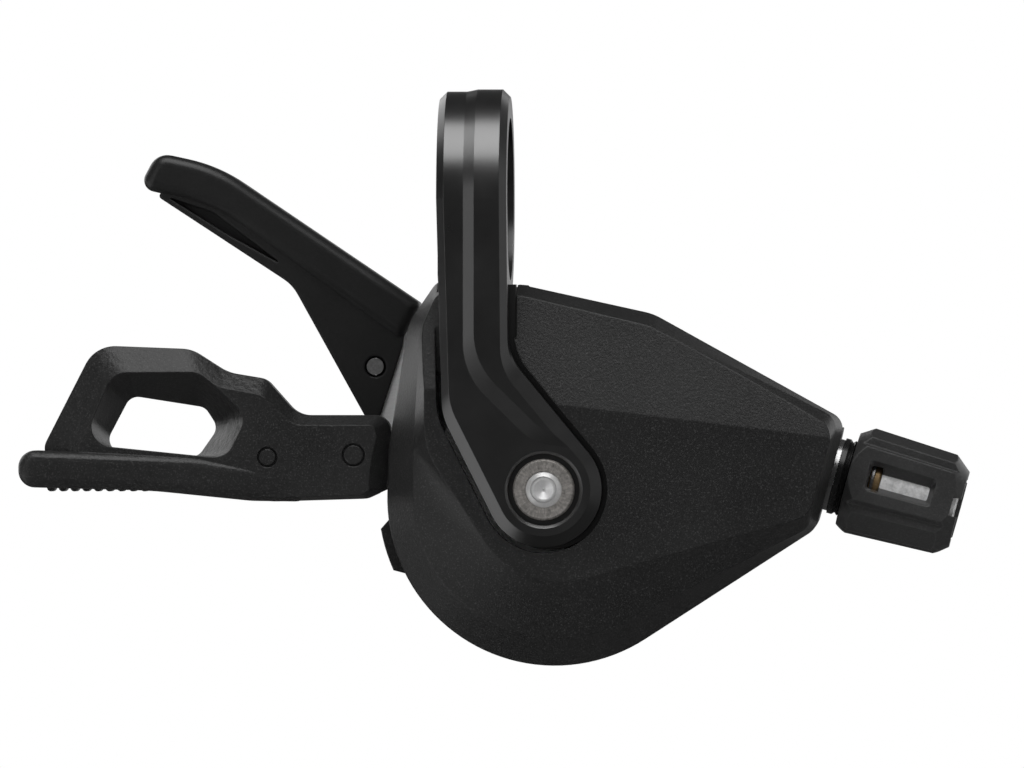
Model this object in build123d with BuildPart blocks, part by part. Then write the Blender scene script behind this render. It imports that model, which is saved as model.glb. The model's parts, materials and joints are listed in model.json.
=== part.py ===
from build123d import *
import os
from math import acos, atan2, cos, degrees, hypot, radians, sin, tan

# Trigger gear shifter for the right-hand side of a flat handlebar, in millimetres.
# The origin is the centre of the bar clamp. X runs along the bar towards the cable outlet,
# Z points from the housing up to the bar, and Y runs from the front cover to the rear cover.

# Clearances
RUN_FIT = 0.05
SEAT_FIT = 0.02
LAYER_GAP = 0.4
SIDE_GAP = 0.3

# Handlebar clamp
BAR_RADIUS = 11.1
BAND_WALL = 3.9
BAND_WIDTH = 9.6
BAND_CHAMFER = 1.0
BOSS_CHAMFER = 2.0
BAND_STEP = 0.3
STEP_FOOT = -1.1
STEP_HEAD = 0.4
STEP_BENDS = [(-1.6, 6.5), (4.9, 5.5), (7.9, -2.6)]
STEP_FILLETS = [10.0, 6.0, 3.0]
SLIT_WIDTH = 1.6
ARM_THICKNESS = 4.4
REAR_ARM_THICKNESS = 2.8
REAR_ARM_MARGIN = 0.3
REAR_ARM_SHIFT = 0.7
REAR_ARM_TOP = -11.7
ARM_LEFT = -4.0
ARM_RIGHT = 5.0
ARM_LEFT_LEAN = 26.6
ARM_RIGHT_LEAN = 39.6
ARM_LEFT_BEND = 9.0
ARM_RIGHT_BEND = 8.0
BOSS_RADIUS = 7.9
POCKET_RADIUS = 4.9
POCKET_DEPTH = 2.6
POCKET_CHAMFER = 0.4
CHANNEL_GAP = 0.75
POCKET_GAP = 0.05

# Clamp bolt and nut
BOLT_RADIUS = 2.5
BOLT_HOLE_RADIUS = 2.75
BOLT_TIP_CHAMFER = 0.7
BOLT_PROUD = 0.5
BOLT_GROOVE = (1.6, 1.8)
BOLT_GROOVE_DEPTH = 0.3
DISH_RADIUS = 1.35
DISH_DEPTH = 0.4
CENTRE_RADIUS = 0.3
CENTRE_DEPTH = 0.9
BOLT_HEAD_RADIUS = 4.25
BOLT_HEAD_HEIGHT = 3.0
HEX_SOCKET = 4.0
HEX_DEPTH = 2.0
NUT_RADIUS = 4.2
NUT_HEIGHT = 1.9
NUT_CHAMFER = 0.25

# Lever axle
AXLE_X = 9.9
AXLE_Z = -39.7
AXLE_RADIUS = 4.5
AXLE_HEAD_RADIUS = 6.6
AXLE_HEAD_HEIGHT = 3.6

# Housing outline at the parting line, with the round end about its own centre
ROUND_X = 11.0
ROUND_Z = -40.9
NOSE_REACH = 36.9
NOSE_HEIGHT = 15.4
BROW = (24.5, -15.7)
PEAK = (6.8, -11.8)
EAR = (-4.9, -11.0)
SHOULDER = (-9.0, -17.0)
KNEE_TUCK = 0.2
KNEE_Z = -34.0
NOSE_LOW_FILLET = 3.0
NOSE_HIGH_FILLET = 2.4
BROW_FILLET = 8.0
PEAK_FILLET = 2.4
EAR_FILLET = 2.4
SHOULDER_FILLET = 7.0
KNEE_FILLET = 12.0

# Front cover: how far each corner of the outline moves in at the two creases in front of it
COVER_FRONT = -13.0
COVER_CREASE = -9.4
COVER_WALL = 1.8
CREASE_ROUND_INSET = 3.4
FRONT_ROUND_INSET = 10.4
CREASE_INSET = 1.6
FRONT_INSET = 2.2
CREASE_KNEE_INSET = 3.6
FRONT_KNEE_INSET = 5.2
FRONT_NOSE_DROP = 1.6
NOSE_SHARE = 0.5
BROW_SHARE = 0.25
EAR_SHARE = 0.125
ROUND_SHARE = 0.11
FACET_START = (14.2, -28.4)
FACET_END = (48.0, -32.5)
FACET_TILT = 16.0

# Mid housing and rear cover
HOUSING_INSET = 0.3
HOUSING_WALL = 2.0
HOUSING_FILLET = 4.0
HOUSING_BACK_INSET = 1.4
HOUSING_TOP = -17.0
HOUSING_STEP_X = 7.6
FLOOR_THICKNESS = 2.0
BACK_CHAMFER = 1.2
LOW_POST_SIDE = 1.5
LOW_POST_SPACE = 6.8
NOSE_POST_BACK = 6.1
NOSE_POST_INSET = 0.72
BROW_POST_SIDE = 0.5
BROW_POST_DROP = 6.9
POST_RIB_ANGLES = [-90.0, -60.0, 60.0]
POST_RIB_LENGTH = 4.5
POST_RIB_WIDTH = 1.6
SCREW_RADIUS = 1.3
SCREW_HEAD_RADIUS = 2.3
SCREW_HEAD_HEIGHT = 1.4
SCREW_CROSS = 2.8
SCREW_CROSS_WIDTH = 0.8
SCREW_BITE = 2.8
POST_RADIUS = 2.8
CHASSIS_RADIUS = 16.0
CHASSIS_TAB = 2.2
LEDGE_START = 184.0
LEDGE_END = 210.0
LEDGE_SLOPE = 6.0
LEDGE_PROUD = 1.4
LEDGE_MARGIN = 1.6

# Depth of the mechanism's layers, front to back
CHASSIS_THICKNESS = 2.2
RELEASE_SPRING_WIDTH = 3.6
PLATE_THICKNESS = 1.8
RATCHET_THICKNESS = 1.6
DRUM_WIDTH = 5.8
MAIN_PLATE_THICKNESS = 2.0
MAIN_SPRING_WIDTH = 2.0
SPACER_RADIUS = 6.6

# Cable drum, ratchets and pawls
CABLE_RADIUS = 12.3
GROOVE_DEPTH = 0.6
GROOVE_WIDTH = 1.8
FLANGE_RADIUS = 13.4
FLANGE_EDGE = 0.9
PAWL_SPACE = 7.2
SPRING_WELL_INNER = 5.6
SPRING_WELL_OUTER = 9.4
SPRING_WELL_DEPTH = 3.4
NIPPLE_RADIUS = 1.9
NIPPLE_ANGLE = 112.0
NIPPLE_DEPTH = 4.4
GEAR_STEPS = 12
STEP_ANGLE = 14.0
TOOTH_HEIGHT = 1.4
TOOTH_INSET = 0.8
POSITIONING_START = 181.0
FEED_START = 84.0
PAWL_PIN_RADIUS = 1.2
PAWL_EYE_RADIUS = 2.2
PAWL_TIP_WIDTH = 0.9
PAWL_LIFT = 1.0
PAWL_TURN = 20.0
POSITIONING_PIN_SPACE = 3.6
POSITIONING_PIN_ANGLE = 322.0
DRIVE_PIN_SPACE = 2.8
DRIVE_PIN_ANGLE = 212.0
SPRING_STRIP = 0.4
SPRING_TURNS = 2
PAWL_SPRING_WIDTH = 1.0
PAWL_SPRING_LEG = 3.6

# Steel arms of the levers, measured from the axle
RELEASE_HUB = 8.5
RELEASE_ARM_TOP = 7.6
RELEASE_ARM_BOTTOM = 1.2
RELEASE_ARM_END = -38.0
MAIN_HUB = 9.4
MAIN_ARM = [(-15.0, 23.0), (-25.0, 28.0), (-31.0, 24.5), (-25.0, 11.5), (-22.2, 8.1)]
MAIN_TURN = 26.0
RELEASE_PULL = 5.0
RELEASE_PUSH = 6.0
NOTCH_MARGIN = 4.0

# Thumb lever, measured from the axle
BAR_CLEARANCE = 0.5
THUMB_DEPTH = 8.8
THUMB_ARM = [(-56.8, 41.3), (-54.2, 46.2), (-46.0, 44.4), (-17.9, 25.4), (-20.6, 20.3), (-46.5, 38.9)]
THUMB_ARM_FILLETS = [1.6, 2.6, 22.0, 0.6, 0.6, 25.0]
THUMB_EDGE = 1.5
WEB_INSET = 0.8
WEB_THICKNESS = 3.8
THUMB_WEB = [(-54.6, 40.45), (-35.6, 28.0), (-24.3, 7.6), (-20.4, 19.8), (-20.0, 24.0), (-46.0, 42.5)]
THUMB_WEB_FILLETS = [0.5, 6.0, 1.2, 3.0, 0.5, 2.0]
THUMB_GROOVE = [(-53.0, 40.2), (-46.4, 38.0), (-36.5, 30.5), (-44.4, 34.85)]
THUMB_GROOVE_FILLETS = [0.1, 3.0, 0.1, 8.0]
THUMB_GROOVE_DEPTH = 1.6
RIVET_POINT = (-24.2, 16.8)
RIVET_RADIUS = 1.15
RIVET_PROUD = 0.2
RIVET_RING = 0.3
RIVET_RING_DEPTH = 0.5

# Finger lever, measured from the axle
FINGER_FRONT = -2.4
FINGER_DEPTH = 7.6
FINGER_OUTLINE = [
    (-22.0, 10.15),
    (-34.2, 10.15),
    (-38.6, 15.1),
    (-44.0, 16.0),
    (-49.0, 19.2),
    (-62.0, 19.7),
    (-69.3, 5.4),
    (-67.0, 2.2),
    (-37.8, -1.7),
    (-24.8, -1.3),
    (-20.0, 0.9),
]
FINGER_FILLETS = [2.2, 3.6, 2.6, 6.0, 5.0, 4.5, 2.2, 2.2, 12.0, 2.2, 2.2]
FINGER_FACE = [
    (-23.6, 8.75),
    (-34.7, 8.75),
    (-39.1, 12.9),
    (-44.6, 13.9),
    (-48.6, 15.7),
    (-58.9, 15.7),
    (-64.4, 5.6),
    (-63.0, 3.0),
    (-37.8, -1.2),
    (-25.4, -0.8),
    (-22.4, 1.2),
]
FINGER_FACE_FILLETS = [1.0, 3.0, 2.6, 5.0, 4.0, 3.5, 1.5, 1.5, 12.0, 2.0, 1.5]
FINGER_BEVEL_DEPTH = 2.4
LOOP_NEAR = [(-63.6, 6.2), (-59.6, 16.0), (-47.6, 16.2), (-41.0, 10.0), (-43.9, 4.2)]
LOOP_FAR = [(-61.4, 5.2), (-57.4, 12.8), (-47.2, 11.2), (-45.4, 8.4), (-48.2, 4.4)]
LOOP_NEAR_FILLET = 2.8
LOOP_FAR_FILLET = 1.8
PADDLE_FRONT = -4.0
PADDLE_DEPTH = 11.6
PADDLE_SINK = 0.15
PADDLE = [
    (-72.4, 5.4),
    (-48.0, 4.5),
    (-33.0, 2.0),
    (-33.0, -1.7),
    (-40.5, -1.6),
    (-54.2, -0.2),
    (-72.4, 0.3),
]
PADDLE_FILLETS = [2.3, 20.0, 1.6, 1.6, 20.0, 60.0, 2.3]
PADDLE_EDGE = 1.5
RIB_COUNT = 9
RIB_PITCH = 1.6
RIB_START = -68.0
RIB_RADIUS = 0.55
RIB_DROP = 0.25
FINGER_ROOT_BEVEL = 1.2
FINGER_ROOT_TUCK = 0.9
FINGER_ROOT_DEPTH = 2.4
DIMPLES = [(-38.3, 4.4, 1.4), (-26.5, 4.7, 1.6)]
DIMPLE_DEPTH = 0.5
DIMPLE_RING = 0.3

# Barrel adjuster, measured along its own axis from the nose
ADJUSTER_TILT = 15.5
SOCKET_RADIUS = 4.3
SOCKET_INSIDE = 7.0
SOCKET_OUTSIDE = 4.6
SOCKET_BOSS = 6.6
STEM_RADIUS = 2.9
STEM_BORE_RADIUS = 3.0
STEM_INSIDE = 4.0
WASHER_RADIUS = 5.0
WASHER_THICKNESS = 0.7
DETENT_RADIUS = 5.3
DETENT_LENGTH = 3.4
DETENT_GROOVE = 0.35
DETENT_STEPS = 7
KNOB_START = 2.1
KNOB_LENGTH = 15.8
KNOB_RADIUS = 7.75
KNOB_DRAFT = 2.4
PANEL_RADIUS = 7.5
PANEL_HALF_ANGLE = 31.0
FLANK_RADIUS = 7.0
FLANK_HALF_ANGLE = 38.0
KNOB_RIB_HALF_ANGLE = 15.0
KNOB_TURN = 12.0
KNOB_SKIRT_RADIUS = 5.6
KNOB_SKIRT_DEPTH = 4.5
KNOB_NEAR_CHAMFER = (2.0, 1.3)
KNOB_FAR_CHAMFER = (2.9, 2.4)
WINDOW_COUNT = 3
WINDOW_MIDDLE = 9.4
WINDOW_LENGTH = 10.8
WINDOW_WIDTH = 6.0
WINDOW_FILLET = 0.9
SLOT_LENGTH = 7.7
SLOT_WIDTH = 1.7
SLOT_FILLET = 0.2
NOTCH_TURN = 10.0
NOTCH_WIDTH = 2.6
NOTCH_DEPTH = 1.1
BARREL_RADIUS = 4.3
BARREL_END_GAP = 0.6
CASING_RADIUS = 2.55
CASING_DEPTH = 9.2
CABLE_HOLE_RADIUS = 1.0
ADJUSTER_SPRING_RADIUS = 4.9
COIL_TURNS = 2
PORT_BOSS_RADIUS = 4.2
PLUG_RADIUS = 2.6
PLUG_LENGTH = 3.0
PLUG_SLOT = 0.9

# Worked out from the sizes above
BAND_RADIUS = BAR_RADIUS + BAND_WALL
ARM_FRONT = -BAND_RADIUS
ARM_BACK = ARM_FRONT + ARM_THICKNESS
REAR_ARM_FRONT = ARM_BACK + SLIT_WIDTH
REAR_ARM_BACK = REAR_ARM_FRONT + REAR_ARM_THICKNESS
POCKET_FLOOR = ARM_FRONT + POCKET_DEPTH
CHASSIS_FRONT = REAR_ARM_BACK
CHASSIS_BACK = CHASSIS_FRONT + CHASSIS_THICKNESS
COVER_RIM = CHASSIS_BACK
RELEASE_SPRING_FRONT = CHASSIS_BACK + LAYER_GAP
RELEASE_FRONT = RELEASE_SPRING_FRONT + RELEASE_SPRING_WIDTH + 2 * LAYER_GAP
RELEASE_BACK = RELEASE_FRONT + PLATE_THICKNESS
POSITIONING_FRONT = RELEASE_BACK + 2 * LAYER_GAP
DRUM_FRONT = POSITIONING_FRONT + RATCHET_THICKNESS
DRUM_BACK = DRUM_FRONT + DRUM_WIDTH
DRUM_MIDDLE = DRUM_FRONT + DRUM_WIDTH / 2
FEED_BACK = DRUM_BACK + RATCHET_THICKNESS
MAIN_FRONT = FEED_BACK + 1.5 * LAYER_GAP
HOUSING_SPLIT = MAIN_FRONT - LAYER_GAP
MAIN_BACK = MAIN_FRONT + MAIN_PLATE_THICKNESS
MAIN_SPRING_FRONT = MAIN_BACK + LAYER_GAP
MAIN_SPRING_BACK = MAIN_SPRING_FRONT + MAIN_SPRING_WIDTH
FLOOR_FRONT = MAIN_SPRING_BACK + LAYER_GAP
FLOOR_BACK = FLOOR_FRONT + FLOOR_THICKNESS
THUMB_FRONT = BAR_RADIUS + BAR_CLEARANCE
ROUND_RADIUS = FLANGE_RADIUS + PAWL_SPACE + HOUSING_WALL + HOUSING_INSET
KNEE = (ROUND_X - ROUND_RADIUS + KNEE_TUCK, KNEE_Z)
RATCHET_TIP = FLANGE_RADIUS - TOOTH_INSET
RATCHET_ROOT = RATCHET_TIP - TOOTH_HEIGHT
PAWL_TIP_RADIUS = RATCHET_TIP + PAWL_LIFT
POSITIONING_PIN = (FLANGE_RADIUS + POSITIONING_PIN_SPACE, POSITIONING_PIN_ANGLE)
DRIVE_PIN = (FLANGE_RADIUS + DRIVE_PIN_SPACE, DRIVE_PIN_ANGLE)
FINGER_ROOT_BACK = ROUND_RADIUS + SIDE_GAP
FINGER_ROOT_FRONT = FINGER_ROOT_BACK + FINGER_ROOT_BEVEL
FINGER_ROOT_INSIDE = ROUND_RADIUS - FINGER_ROOT_TUCK
PORT_REACH = NOSE_REACH + ROUND_RADIUS - HOUSING_INSET
AXLE_AXIS = Axis((AXLE_X, 0, AXLE_Z), (0, 1, 0))
CABLE_WAY = Vector(cos(radians(ADJUSTER_TILT)), 0, -sin(radians(ADJUSTER_TILT)))
CABLE_UP = Vector(sin(radians(ADJUSTER_TILT)), 0, cos(radians(ADJUSTER_TILT)))
NOSE = Vector(AXLE_X, DRUM_MIDDLE, AXLE_Z) + CABLE_UP * CABLE_RADIUS + CABLE_WAY * NOSE_REACH
NOSE_POST = NOSE - CABLE_WAY * NOSE_POST_BACK - CABLE_UP * (NOSE_HEIGHT / 2 - NOSE_POST_INSET)
SCREW_POINTS = [
    (ROUND_X + LOW_POST_SIDE, ROUND_Z - ROUND_RADIUS + LOW_POST_SPACE),
    (NOSE_POST.X, NOSE_POST.Z),
    (BROW[0] + BROW_POST_SIDE, BROW[1] - BROW_POST_DROP),
]
ADJUSTER_AXIS = Axis(NOSE, CABLE_WAY)
KNOB_END = KNOB_START + KNOB_LENGTH
MAIN_NOTCH_START = degrees(atan2(MAIN_ARM[0][1], MAIN_ARM[0][0])) - 2 * NOTCH_MARGIN
MAIN_NOTCH_END = degrees(atan2(MAIN_ARM[-1][1], MAIN_ARM[-1][0])) + MAIN_TURN + 2 * NOTCH_MARGIN
RELEASE_NOTCH_START = degrees(atan2(RELEASE_ARM_TOP, -FINGER_ROOT_BACK)) - RELEASE_PULL - 2 * NOTCH_MARGIN
RELEASE_NOTCH_END = degrees(atan2(RELEASE_ARM_BOTTOM, -FINGER_ROOT_BACK)) + RELEASE_PUSH + NOTCH_MARGIN
BARREL_END = KNOB_END - BARREL_END_GAP
WASHER_END = WASHER_THICKNESS - HOUSING_INSET
DETENT_START = WASHER_END + RUN_FIT
DETENT_END = DETENT_START + DETENT_LENGTH
SKIRT_END = KNOB_START + KNOB_SKIRT_DEPTH


def depth_plane(depth):
    """Plane square to Y at this depth, facing the front: its x is X and its y is Z."""
    return Plane.XZ.offset(-depth)


def axle_plane(depth):
    """Depth plane with its origin on the lever axle."""
    return Plane((AXLE_X, depth, AXLE_Z), x_dir=(1, 0, 0), z_dir=(0, -1, 0))


def adjuster_plane(reach):
    """Plane across the adjuster's axis, this far out from the nose; its x faces the front."""
    return Plane(NOSE + CABLE_WAY * reach, x_dir=(0, -1, 0), z_dir=CABLE_WAY)


def adjuster_section():
    """Plane through the adjuster's axis: its x is the distance from it, its y runs outwards."""
    front = Vector(0, -1, 0)
    return Plane(NOSE, x_dir=front, z_dir=front.cross(CABLE_WAY))


def window_plane(angle, distance):
    """Plane square to the knob's radius at this angle and distance, at the windows' middle."""
    across = adjuster_plane(WINDOW_MIDDLE)
    outwards = across.x_dir * cos(radians(angle)) + across.y_dir * sin(radians(angle))
    return Plane(across.origin + outwards * distance, x_dir=CABLE_WAY, z_dir=outwards)


def axle_section():
    """Plane through the lever axle: its x is the distance from the axle, its y is the depth."""
    return Plane((AXLE_X, 0, AXLE_Z), x_dir=(1, 0, 0), z_dir=(0, 0, 1))


def polar(radius, angle):
    return (radius * cos(radians(angle)), radius * sin(radians(angle)))


def tangent_point(point, centre, radius, side):
    """Where a line from the point touches the circle, on the chosen side."""
    way_x = point[0] - centre[0]
    way_z = point[1] - centre[1]
    angle = degrees(atan2(way_z, way_x)) + side * degrees(acos(radius / hypot(way_x, way_z)))
    touch = polar(radius, angle)
    return (centre[0] + touch[0], centre[1] + touch[1]), angle


def round_outline(centre, radius, corners, fillets):
    """Face of a housing section: filleted corners closed by the arc of the round end."""
    start, start_angle = tangent_point(corners[0], centre, radius, -1)
    end, end_angle = tangent_point(corners[-1], centre, radius, 1)
    with BuildLine() as outline:
        FilletPolyline(start, *corners, end, radius=fillets)
        CenterArc((*centre, 0), radius, end_angle, (start_angle - end_angle) % 360)
    make_face(outline.edges())


def filleted_face(points, fillets):
    """Face of a closed polygon with its own fillet at each corner."""
    with BuildLine() as outline:
        FilletPolyline(*points, points[0], radius=fillets)
    make_face(outline.edges())


def nose_corner(side, reach, drop=0.0):
    """Corner of the nose face, above (1) or below (-1) the adjuster's axis."""
    corner = NOSE + CABLE_WAY * reach + CABLE_UP * (side * (NOSE_HEIGHT / 2 - drop))
    return (corner.X, corner.Z)


def cover_section(round_inset, inset, knee_inset, nose_drop):
    """One section of the front cover, moved in from the outline at the parting line."""
    corners = [
        nose_corner(-1, -inset * NOSE_SHARE, nose_drop),
        nose_corner(1, -inset * NOSE_SHARE, nose_drop),
        (BROW[0] - inset * BROW_SHARE, BROW[1] - inset),
        (PEAK[0], PEAK[1] - inset),
        (EAR[0] + inset * EAR_SHARE, EAR[1] - inset),
        (SHOULDER[0] + knee_inset / 2, SHOULDER[1] - inset / 2),
        (KNEE[0] + knee_inset, KNEE[1]),
    ]
    fillets = [
        NOSE_LOW_FILLET,
        NOSE_HIGH_FILLET,
        BROW_FILLET,
        PEAK_FILLET,
        EAR_FILLET,
        SHOULDER_FILLET,
        KNEE_FILLET,
    ]
    centre = (ROUND_X + round_inset * ROUND_SHARE, ROUND_Z + round_inset * ROUND_SHARE)
    round_outline(centre, ROUND_RADIUS - round_inset, corners, fillets)


def housing_section():
    """Outline of the mid housing and the rear cover, which pass below the band."""
    corners = [
        nose_corner(-1, 0),
        nose_corner(1, 0),
        BROW,
        (HOUSING_STEP_X + PEAK_FILLET, PEAK[1] - PEAK_FILLET / 2),
        (HOUSING_STEP_X, HOUSING_TOP),
        (SHOULDER[0], HOUSING_TOP),
        KNEE,
    ]
    fillets = [
        HOUSING_FILLET,
        HOUSING_FILLET,
        BROW_FILLET,
        HOUSING_FILLET,
        SIDE_GAP,
        HOUSING_FILLET,
        KNEE_FILLET,
    ]
    round_outline((ROUND_X, ROUND_Z), ROUND_RADIUS, corners, fillets)


def facet_plane(sink):
    """Plane of the cover's upper facet, sunk by this much below the surface."""
    along = Vector(FACET_END[0] - FACET_START[0], 0, FACET_END[1] - FACET_START[1]).normalized()
    up = Vector(-along.Z, 0, along.X)
    out = Vector(0, -cos(radians(FACET_TILT)), 0) + up * sin(radians(FACET_TILT))
    start = Vector(FACET_START[0], COVER_FRONT, FACET_START[1])
    return Plane(start - out * sink, x_dir=along, z_dir=out)


def rear_arm_plane(depth):
    """Depth plane moved over to the rear arm, which stands out on the cable side."""
    return Plane((REAR_ARM_SHIFT, depth, 0), x_dir=(1, 0, 0), z_dir=(0, -1, 0))


def arm_outline(left_inset=0.0, right_inset=0.0, boss_inset=0.0):
    """Face of a clamp arm, from the band down to the round boss on the axle."""
    radius = BOSS_RADIUS - boss_inset
    left_edge = ARM_LEFT + left_inset
    right_edge = ARM_RIGHT - right_inset
    left_top = (left_inset - BAND_WIDTH / 2, 0)
    right_top = (BAND_WIDTH / 2 - right_inset, 0)
    left_sin = sin(radians(ARM_LEFT_LEAN))
    left_cos = cos(radians(ARM_LEFT_LEAN))
    right_sin = sin(radians(ARM_RIGHT_LEAN))
    right_cos = cos(radians(ARM_RIGHT_LEAN))
    left = (AXLE_X - radius * left_cos, AXLE_Z - radius * left_sin)
    right = (AXLE_X + radius * right_cos, AXLE_Z + radius * right_sin)
    left_bend = (left_edge, left[1] + (left[0] - left_edge) * left_cos / left_sin)
    right_bend = (right_edge, right[1] + (right[0] - right_edge) * right_cos / right_sin)
    arc_start = 180 + ARM_LEFT_LEAN
    arc_size = 180 + ARM_RIGHT_LEAN - ARM_LEFT_LEAN
    with BuildLine() as outline:
        FilletPolyline(left_top, left_bend, left, radius=ARM_LEFT_BEND)
        CenterArc((AXLE_X, AXLE_Z, 0), radius, arc_start, arc_size)
        FilletPolyline(right, right_bend, right_top, radius=ARM_RIGHT_BEND)
        Line(right_top, left_top)
    make_face(outline.edges())


def step_outline(shift):
    """Face over the lower, left-hand part of the front arm; its border runs round the boss."""
    bends = [(AXLE_X + x + shift, AXLE_Z + z + shift) for x, z in STEP_BENDS]
    head = (STEP_FOOT + shift, BAND_WALL)
    with BuildLine() as outline:
        FilletPolyline(
            head,
            (STEP_FOOT + shift, AXLE_Z + 2 * BOSS_RADIUS + shift),
            *bends,
            radius=STEP_FILLETS,
        )
        Polyline(
            bends[-1],
            (bends[-1][0], AXLE_Z - 2 * BOSS_RADIUS),
            (-BAND_WIDTH, AXLE_Z - 2 * BOSS_RADIUS),
            (-BAND_WIDTH, BAND_WALL),
            head,
        )
    make_face(outline.edges())


def spiral_strip(inner, outer, turns):
    """Face of a flat spring strip, wound from half circles whose radius grows by even steps."""
    steps = 2 * turns
    growth = (outer - inner - SPRING_STRIP) / steps
    with BuildLine() as outline:
        for side in (0, SPRING_STRIP):
            for half in range(steps):
                radius = inner + side + growth * (half + 0.5)
                shift = growth / 2 if half % 2 == 0 else -growth / 2
                CenterArc((-shift, 0, 0), radius, 180 * (half % 2), 180)
        Line((inner, 0), (inner + SPRING_STRIP, 0))
        Line((outer - SPRING_STRIP, 0), (outer, 0))
    make_face(outline.edges())


def ratchet_face(start_angle, lead):
    """Face of a toothed plate: saw teeth over the gear steps, plain over the rest.

    A lead of 0 makes the steep flank face one way, and a lead of 1 the other way.
    """
    points = []
    for tooth in range(GEAR_STEPS):
        angle = start_angle + tooth * STEP_ANGLE
        points.append(polar(RATCHET_ROOT, angle))
        points.append(polar(RATCHET_TIP, angle + lead * STEP_ANGLE))
    end_angle = start_angle + GEAR_STEPS * STEP_ANGLE
    points.append(polar(RATCHET_ROOT, end_angle))
    with BuildLine() as outline:
        Polyline(*points)
        CenterArc((0, 0, 0), RATCHET_ROOT, end_angle, 360 - GEAR_STEPS * STEP_ANGLE)
    make_face(outline.edges())
    Circle(AXLE_RADIUS + RUN_FIT, mode=Mode.SUBTRACT)


def pawl_face(pin, turn):
    """Face of a pawl: an eye on its pin and a beak that reaches to just outside the teeth."""
    eye = Vector(*polar(*pin))
    tip = Vector(*polar(PAWL_TIP_RADIUS, pin[1] + turn))
    along = (tip - eye).normalized()
    across = Vector(-along.Y, along.X)
    with Locations(eye):
        Circle(PAWL_EYE_RADIUS)
    with BuildLine() as outline:
        Polyline(
            eye + across * PAWL_EYE_RADIUS,
            tip + across * (PAWL_TIP_WIDTH / 2),
            tip - across * (PAWL_TIP_WIDTH / 2),
            eye - across * PAWL_EYE_RADIUS,
            close=True,
        )
    make_face(outline.edges())
    with Locations(eye):
        Circle(PAWL_PIN_RADIUS + RUN_FIT, mode=Mode.SUBTRACT)


def pawl_spring_face(pin):
    """Face of a small torsion spring: an open ring on the pin with a straight leg."""
    eye = Vector(*polar(*pin))
    with Locations(eye):
        Circle(PAWL_PIN_RADIUS + RUN_FIT + SPRING_STRIP)
    with Locations(Location(eye + Vector(*polar(PAWL_SPRING_LEG / 2, pin[1])), (0, 0, pin[1]))):
        Rectangle(PAWL_SPRING_LEG, SPRING_STRIP)
    with Locations(eye):
        Circle(PAWL_PIN_RADIUS + RUN_FIT, mode=Mode.SUBTRACT)


def knob_corners(inset=0.0):
    """Corners of the knob's section: a panel, its two flanks and a rib in each third of the turn."""
    corners = []
    for window in range(WINDOW_COUNT):
        panel = window * 360 / WINDOW_COUNT - KNOB_TURN
        rib = panel + 180 / WINDOW_COUNT
        corners.append(polar(PANEL_RADIUS - inset, panel - PANEL_HALF_ANGLE))
        corners.append(polar(PANEL_RADIUS - inset, panel + PANEL_HALF_ANGLE))
        corners.append(polar(FLANK_RADIUS - inset, panel + FLANK_HALF_ANGLE))
        corners.append(polar(KNOB_RADIUS - inset, rib - KNOB_RIB_HALF_ANGLE))
        corners.append(polar(KNOB_RADIUS - inset, rib + KNOB_RIB_HALF_ANGLE))
        corners.append(polar(FLANK_RADIUS - inset, 2 * rib - panel - FLANK_HALF_ANGLE))
    return corners


def screw_posts():
    """Faces of the screw posts, each with a rib that ties it to the wall."""
    with Locations(*SCREW_POINTS):
        Circle(POST_RADIUS)
    for point, angle in zip(SCREW_POINTS, POST_RIB_ANGLES):
        with Locations(Location((*point, 0), (0, 0, angle))):
            Rectangle(POST_RIB_LENGTH, POST_RIB_WIDTH, align=(Align.MIN, Align.CENTER))


def lever_notch(start, end):
    """Wedge seen from the axle between two angles, to cut the housing wall for a lever's travel."""
    inside = AXLE_HEAD_RADIUS + SIDE_GAP
    outside = 2 * ROUND_RADIUS
    with BuildLine() as outline:
        Polyline(
            polar(inside, start),
            polar(outside, start),
            polar(outside, (start + end) / 2),
            polar(outside, end),
            polar(inside, end),
            close=True,
        )
    make_face(outline.edges())


def ledge_face():
    """Face of the stop ledge, on the round end's wall and seen from the round end's centre."""
    root = ROUND_RADIUS - HOUSING_INSET - HOUSING_WALL / 2
    crest = ROUND_RADIUS + LEDGE_PROUD
    with BuildLine() as outline:
        Line(polar(root, LEDGE_START), polar(crest, LEDGE_START + LEDGE_SLOPE))
        CenterArc(
            (0, 0, 0), crest, LEDGE_START + LEDGE_SLOPE, LEDGE_END - LEDGE_START - 2 * LEDGE_SLOPE
        )
        Line(polar(crest, LEDGE_END - LEDGE_SLOPE), polar(root, LEDGE_END))
        CenterArc((0, 0, 0), root, LEDGE_START, LEDGE_END - LEDGE_START)
    make_face(outline.edges())


def save(builder, name):
    builder.part.label = name
    export_step(builder.part, os.path.join("parts", name + ".step"))


os.makedirs("parts", exist_ok=True)

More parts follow.
